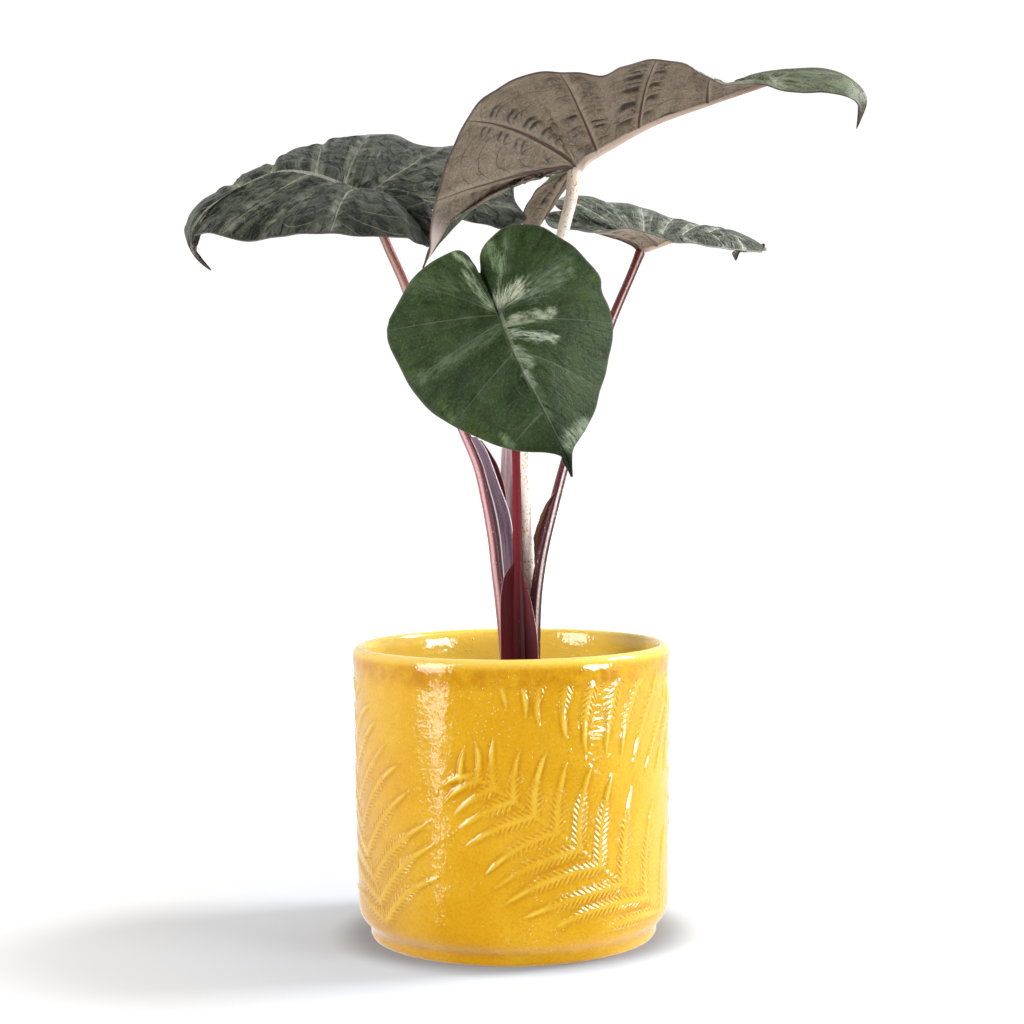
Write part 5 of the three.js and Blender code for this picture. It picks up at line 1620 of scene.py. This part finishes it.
def stalks():
    pink = stalk_skin("stalk_pink", ("b4707a", "cf9a86"), ("521f2c", "9a4034"), (150.0, 235.0), "e6c0b4",
                      0.66, highlight_stripe=(-0.35, 0.42, "ecc9c8", 0.8))
    lavender = wing_skin("sheath_lavender", "5c4858", "8f7a88", "e9dcda", inner=("3c1a24", "e6d8d6"))
    dark_red = wing_skin("sheath_dark_red", "4a1420", "611e2a", "b99a96")
    dress(stalk("stalk_pink", STALKS["left"], pink, [lavender, dark_red]), "stalk_left", "stalk_pink")
    cream = stalk_skin("stalk_cream", ("f3e4d4", "e9cda9"), ("fff6ec", "f0d9bd"), (190.0, 320.0), "d98a58",
                       0.575, split=-0.6)
    mauve = wing_skin("sheath_mauve", "c4aaae", "856070", "f2e8e4", low="8a6a70")
    dress(stalk("stalk_cream", STALKS["top"], cream, [mauve]), "stalk_top", "stalk_cream")
    maroon = stalk_skin("stalk_maroon", ("440812", "84222c"), ("380610", "6c1a24"), (48.0, 112.0), "c0606e",
                        0.7, roughness=0.6, coat=0.0)
    maroon_wing = wing_skin("sheath_maroon", "400812", "5c0f1c", "c9a59a", roughness=0.65, coat=0.0)
    dress(stalk("stalk_maroon", STALKS["front"], maroon, [maroon_wing, maroon_wing]), "stalk_front",
          "stalk_maroon")
    red_brown = stalk_skin("stalk_red_brown", ("5e3038", "8e4238"), ("4a2028", "7c2a2a"), (150.0, 275.0),
                           "e2c8c0", 0.64, highlight_stripe=(0.3, 0.3, "f4eae6", 0.9))
    torn = wing_skin("sheath_torn", "6e4434", "46281e", "cdb8ae", roughness=0.6, coat=0.0)
    dress(stalk("stalk_red_brown", STALKS["right"], red_brown, [torn], ragged=0.3, seed=2.0), "stalk_right",
          "stalk_red_brown")


def pots():
    dress(cover_pot(glaze()), "cover_pot", "glaze")
    dress(nursery_pot(moulded_plastic()), "nursery_pot", "nursery_plastic")
    dress(soil(soil_skin(), plain("bark_chip", "5a3c24", "3c2616", 0.85, 400.0, 0.7),
               plain("perlite", "e8e4da", "cfc9bc", 0.8, 500.0, 0.6)), "soil", "soil")
    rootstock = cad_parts["rootstock"]
    rootstock.data.materials.clear()
    rootstock.data.materials.append(cork_skin())


leaves()
stalks()
pots()

# Camera, lights and stage

AIM = (0, 0, 0.2)
# Each light's place, size and power, and whether it lights surfaces and shows in the glaze. The gleams
# are low panels that only mirror in it.
LIGHTS = {
    "key": ((-0.98, -0.62, 0.66), (0.5, 0.7), 11.0, True, True),
    "side": ((0.95, -0.5, 0.46), (0.42, 1.06), 7.0, True, False),
    "top": ((0.25, 0.2, 1.35), (0.8, 0.8), 6.0, True, False),
    "shadow": ((1.0, 0.25, 0.95), (0.35, 0.35), 16.0, True, True),
    "gleam_left": ((-0.97, -0.64, 0.17), (0.46, 0.42), 4.6, False, True),
    "gleam_low": ((-0.93, -0.70, -0.12), (0.1, 0.14), 0.33, False, True),
    "gleam_right": ((0.95, -0.48, 0.2), (0.4, 0.36), 15.0, False, True),
}
ROOM_LIGHT = 0.3
BACKDROP = 1.05
GLOSS_FADE = (-0.6, 0.3)
GLOSS_LEAST = 0.06
FLOOR_HALF = 6.0
FLOOR_BOUNCE = (0.86, 0.86, 0.86, 1)
# The painted contact shadow round the pot's foot: its colour and strength.
PAINTED_CONTACT_SHADE = (0.1, 0.1, 0.12, 1)
PAINTED_CONTACT_STRENGTH = 0.8
COOL_FADE = (0.07, 0.2)
FLOOR_GLOW = 1.2
FLOOR_GREY = 0.66
# A cool tint painted near the pot against the glaze's yellow bounce light.
FLOOR_COOL = (0.57, 0.62, 0.7)
# Where the painted contact shadow is full and where it ends.
PAINTED_CONTACT_REACH = (0.062, 0.085)
FLOOR_LIFT = 0.16
FLOOR_FADE = (0.16, 0.6)


def make_camera():
    data = bpy.data.cameras.new("camera")
    data.sensor_width = SENSOR
    data.lens = FOCAL_PIXELS * SENSOR / PHOTO_PIXELS
    camera = bpy.data.objects.new("camera", data)
    camera.location = [c * MM for c in CAMERA_PLACE]
    camera.rotation_euler = (math.pi / 2 - CAMERA_PITCH, CAMERA_ROLL, 0)
    bpy.context.scene.collection.objects.link(camera)
    bpy.context.scene.camera = camera


def area_light(name, place, size, power, lights, mirrors):
    data = bpy.data.lights.new(name, "AREA")
    data.shape = "RECTANGLE"
    data.size, data.size_y = size
    data.energy = power
    lamp = bpy.data.objects.new(name, data)
    lamp.location = place
    lamp.visible_diffuse = lights
    lamp.visible_glossy = mirrors
    way = np.array(AIM) - np.array(place)
    tilt = math.acos(-way[2] / np.linalg.norm(way))
    lamp.rotation_euler = (tilt, 0, math.atan2(way[1], way[0]) - math.pi / 2)
    bpy.context.scene.collection.objects.link(lamp)


def make_room():
    """A white backdrop that lights the part more softly than it shows, and mirrors darkly from the front."""
    world = bpy.data.worlds.new("studio")
    bpy.context.scene.world = world
    world.use_nodes = True
    n = Nodes(world.node_tree)
    _, y, _ = n.split(n.node("ShaderNodeTexCoord", output="Generated"))
    mirrored = n.ramp(y, *GLOSS_FADE, GLOSS_LEAST, 1.0, smooth=False)
    strength = n.ramp(n.rays("Is Camera Ray"), 0.0, 1.0, ROOM_LIGHT, BACKDROP, smooth=False)
    strength = n.ramp(n.rays("Is Glossy Ray"), 0.0, 1.0, strength, mirrored, smooth=False)
    background = n.tree.nodes["Background"]
    n.put(background.inputs["Strength"], strength)
    n.put(background.inputs["Color"], (1, 1, 1, 1))


def make_floor():
    """A white floor that takes the shadow, with a painted contact shadow round the pot's foot, and doesn't
    hide the low softboxes from the glaze.
    """
    h = FLOOR_HALF
    mesh = bpy.data.meshes.new("floor")
    mesh.from_pydata([(-h, -h, 0), (h, -h, 0), (h, h, 0), (-h, h, 0)], [], [(0, 1, 2, 3)])
    n = Skin("floor")
    x, y, _ = n.split(n.place())
    away = n.math("SQRT", x * x + y * y)
    seen = n.rays("Is Camera Ray")
    # Painted near the pot: a cool tint that cancels the yellow light the glaze bounces onto the floor.
    shown = n.mix(n.ramp(away, *COOL_FADE), (*FLOOR_COOL, 1), (*[FLOOR_GREY] * 3, 1))
    # Painted contact shadow: darker round the pot's foot.
    shown = n.mix(n.ramp(away, *PAINTED_CONTACT_REACH, PAINTED_CONTACT_STRENGTH, 0.0), shown, PAINTED_CONTACT_SHADE)
    n.colour = n.mix(seen, FLOOR_BOUNCE, shown)
    n.finish(Roughness=0.9, Specular_IOR_Level=0.0, Emission_Color=(1, 1, 1, 1),
             Emission_Strength=seen * n.ramp(away, *FLOOR_FADE, FLOOR_LIFT, FLOOR_GLOW))
    hidden = n.math("MAXIMUM", n.rays("Is Glossy Ray"), n.rays("Is Shadow Ray"))
    blend = n.node("ShaderNodeMixShader", i0=hidden, i1=Value(n, n.shader.outputs[0]),
                   i2=n.node("ShaderNodeBsdfTransparent"))
    n.put(n.output.inputs["Surface"], blend)
    mesh.materials.append(n.material)
    floor = bpy.data.objects.new("floor", mesh)
    bpy.context.scene.collection.objects.link(floor)


make_camera()
make_room()
make_floor()
for light, settings in LIGHTS.items():
    area_light(light, *settings)
bpy.context.scene.view_settings.view_transform = "Standard"
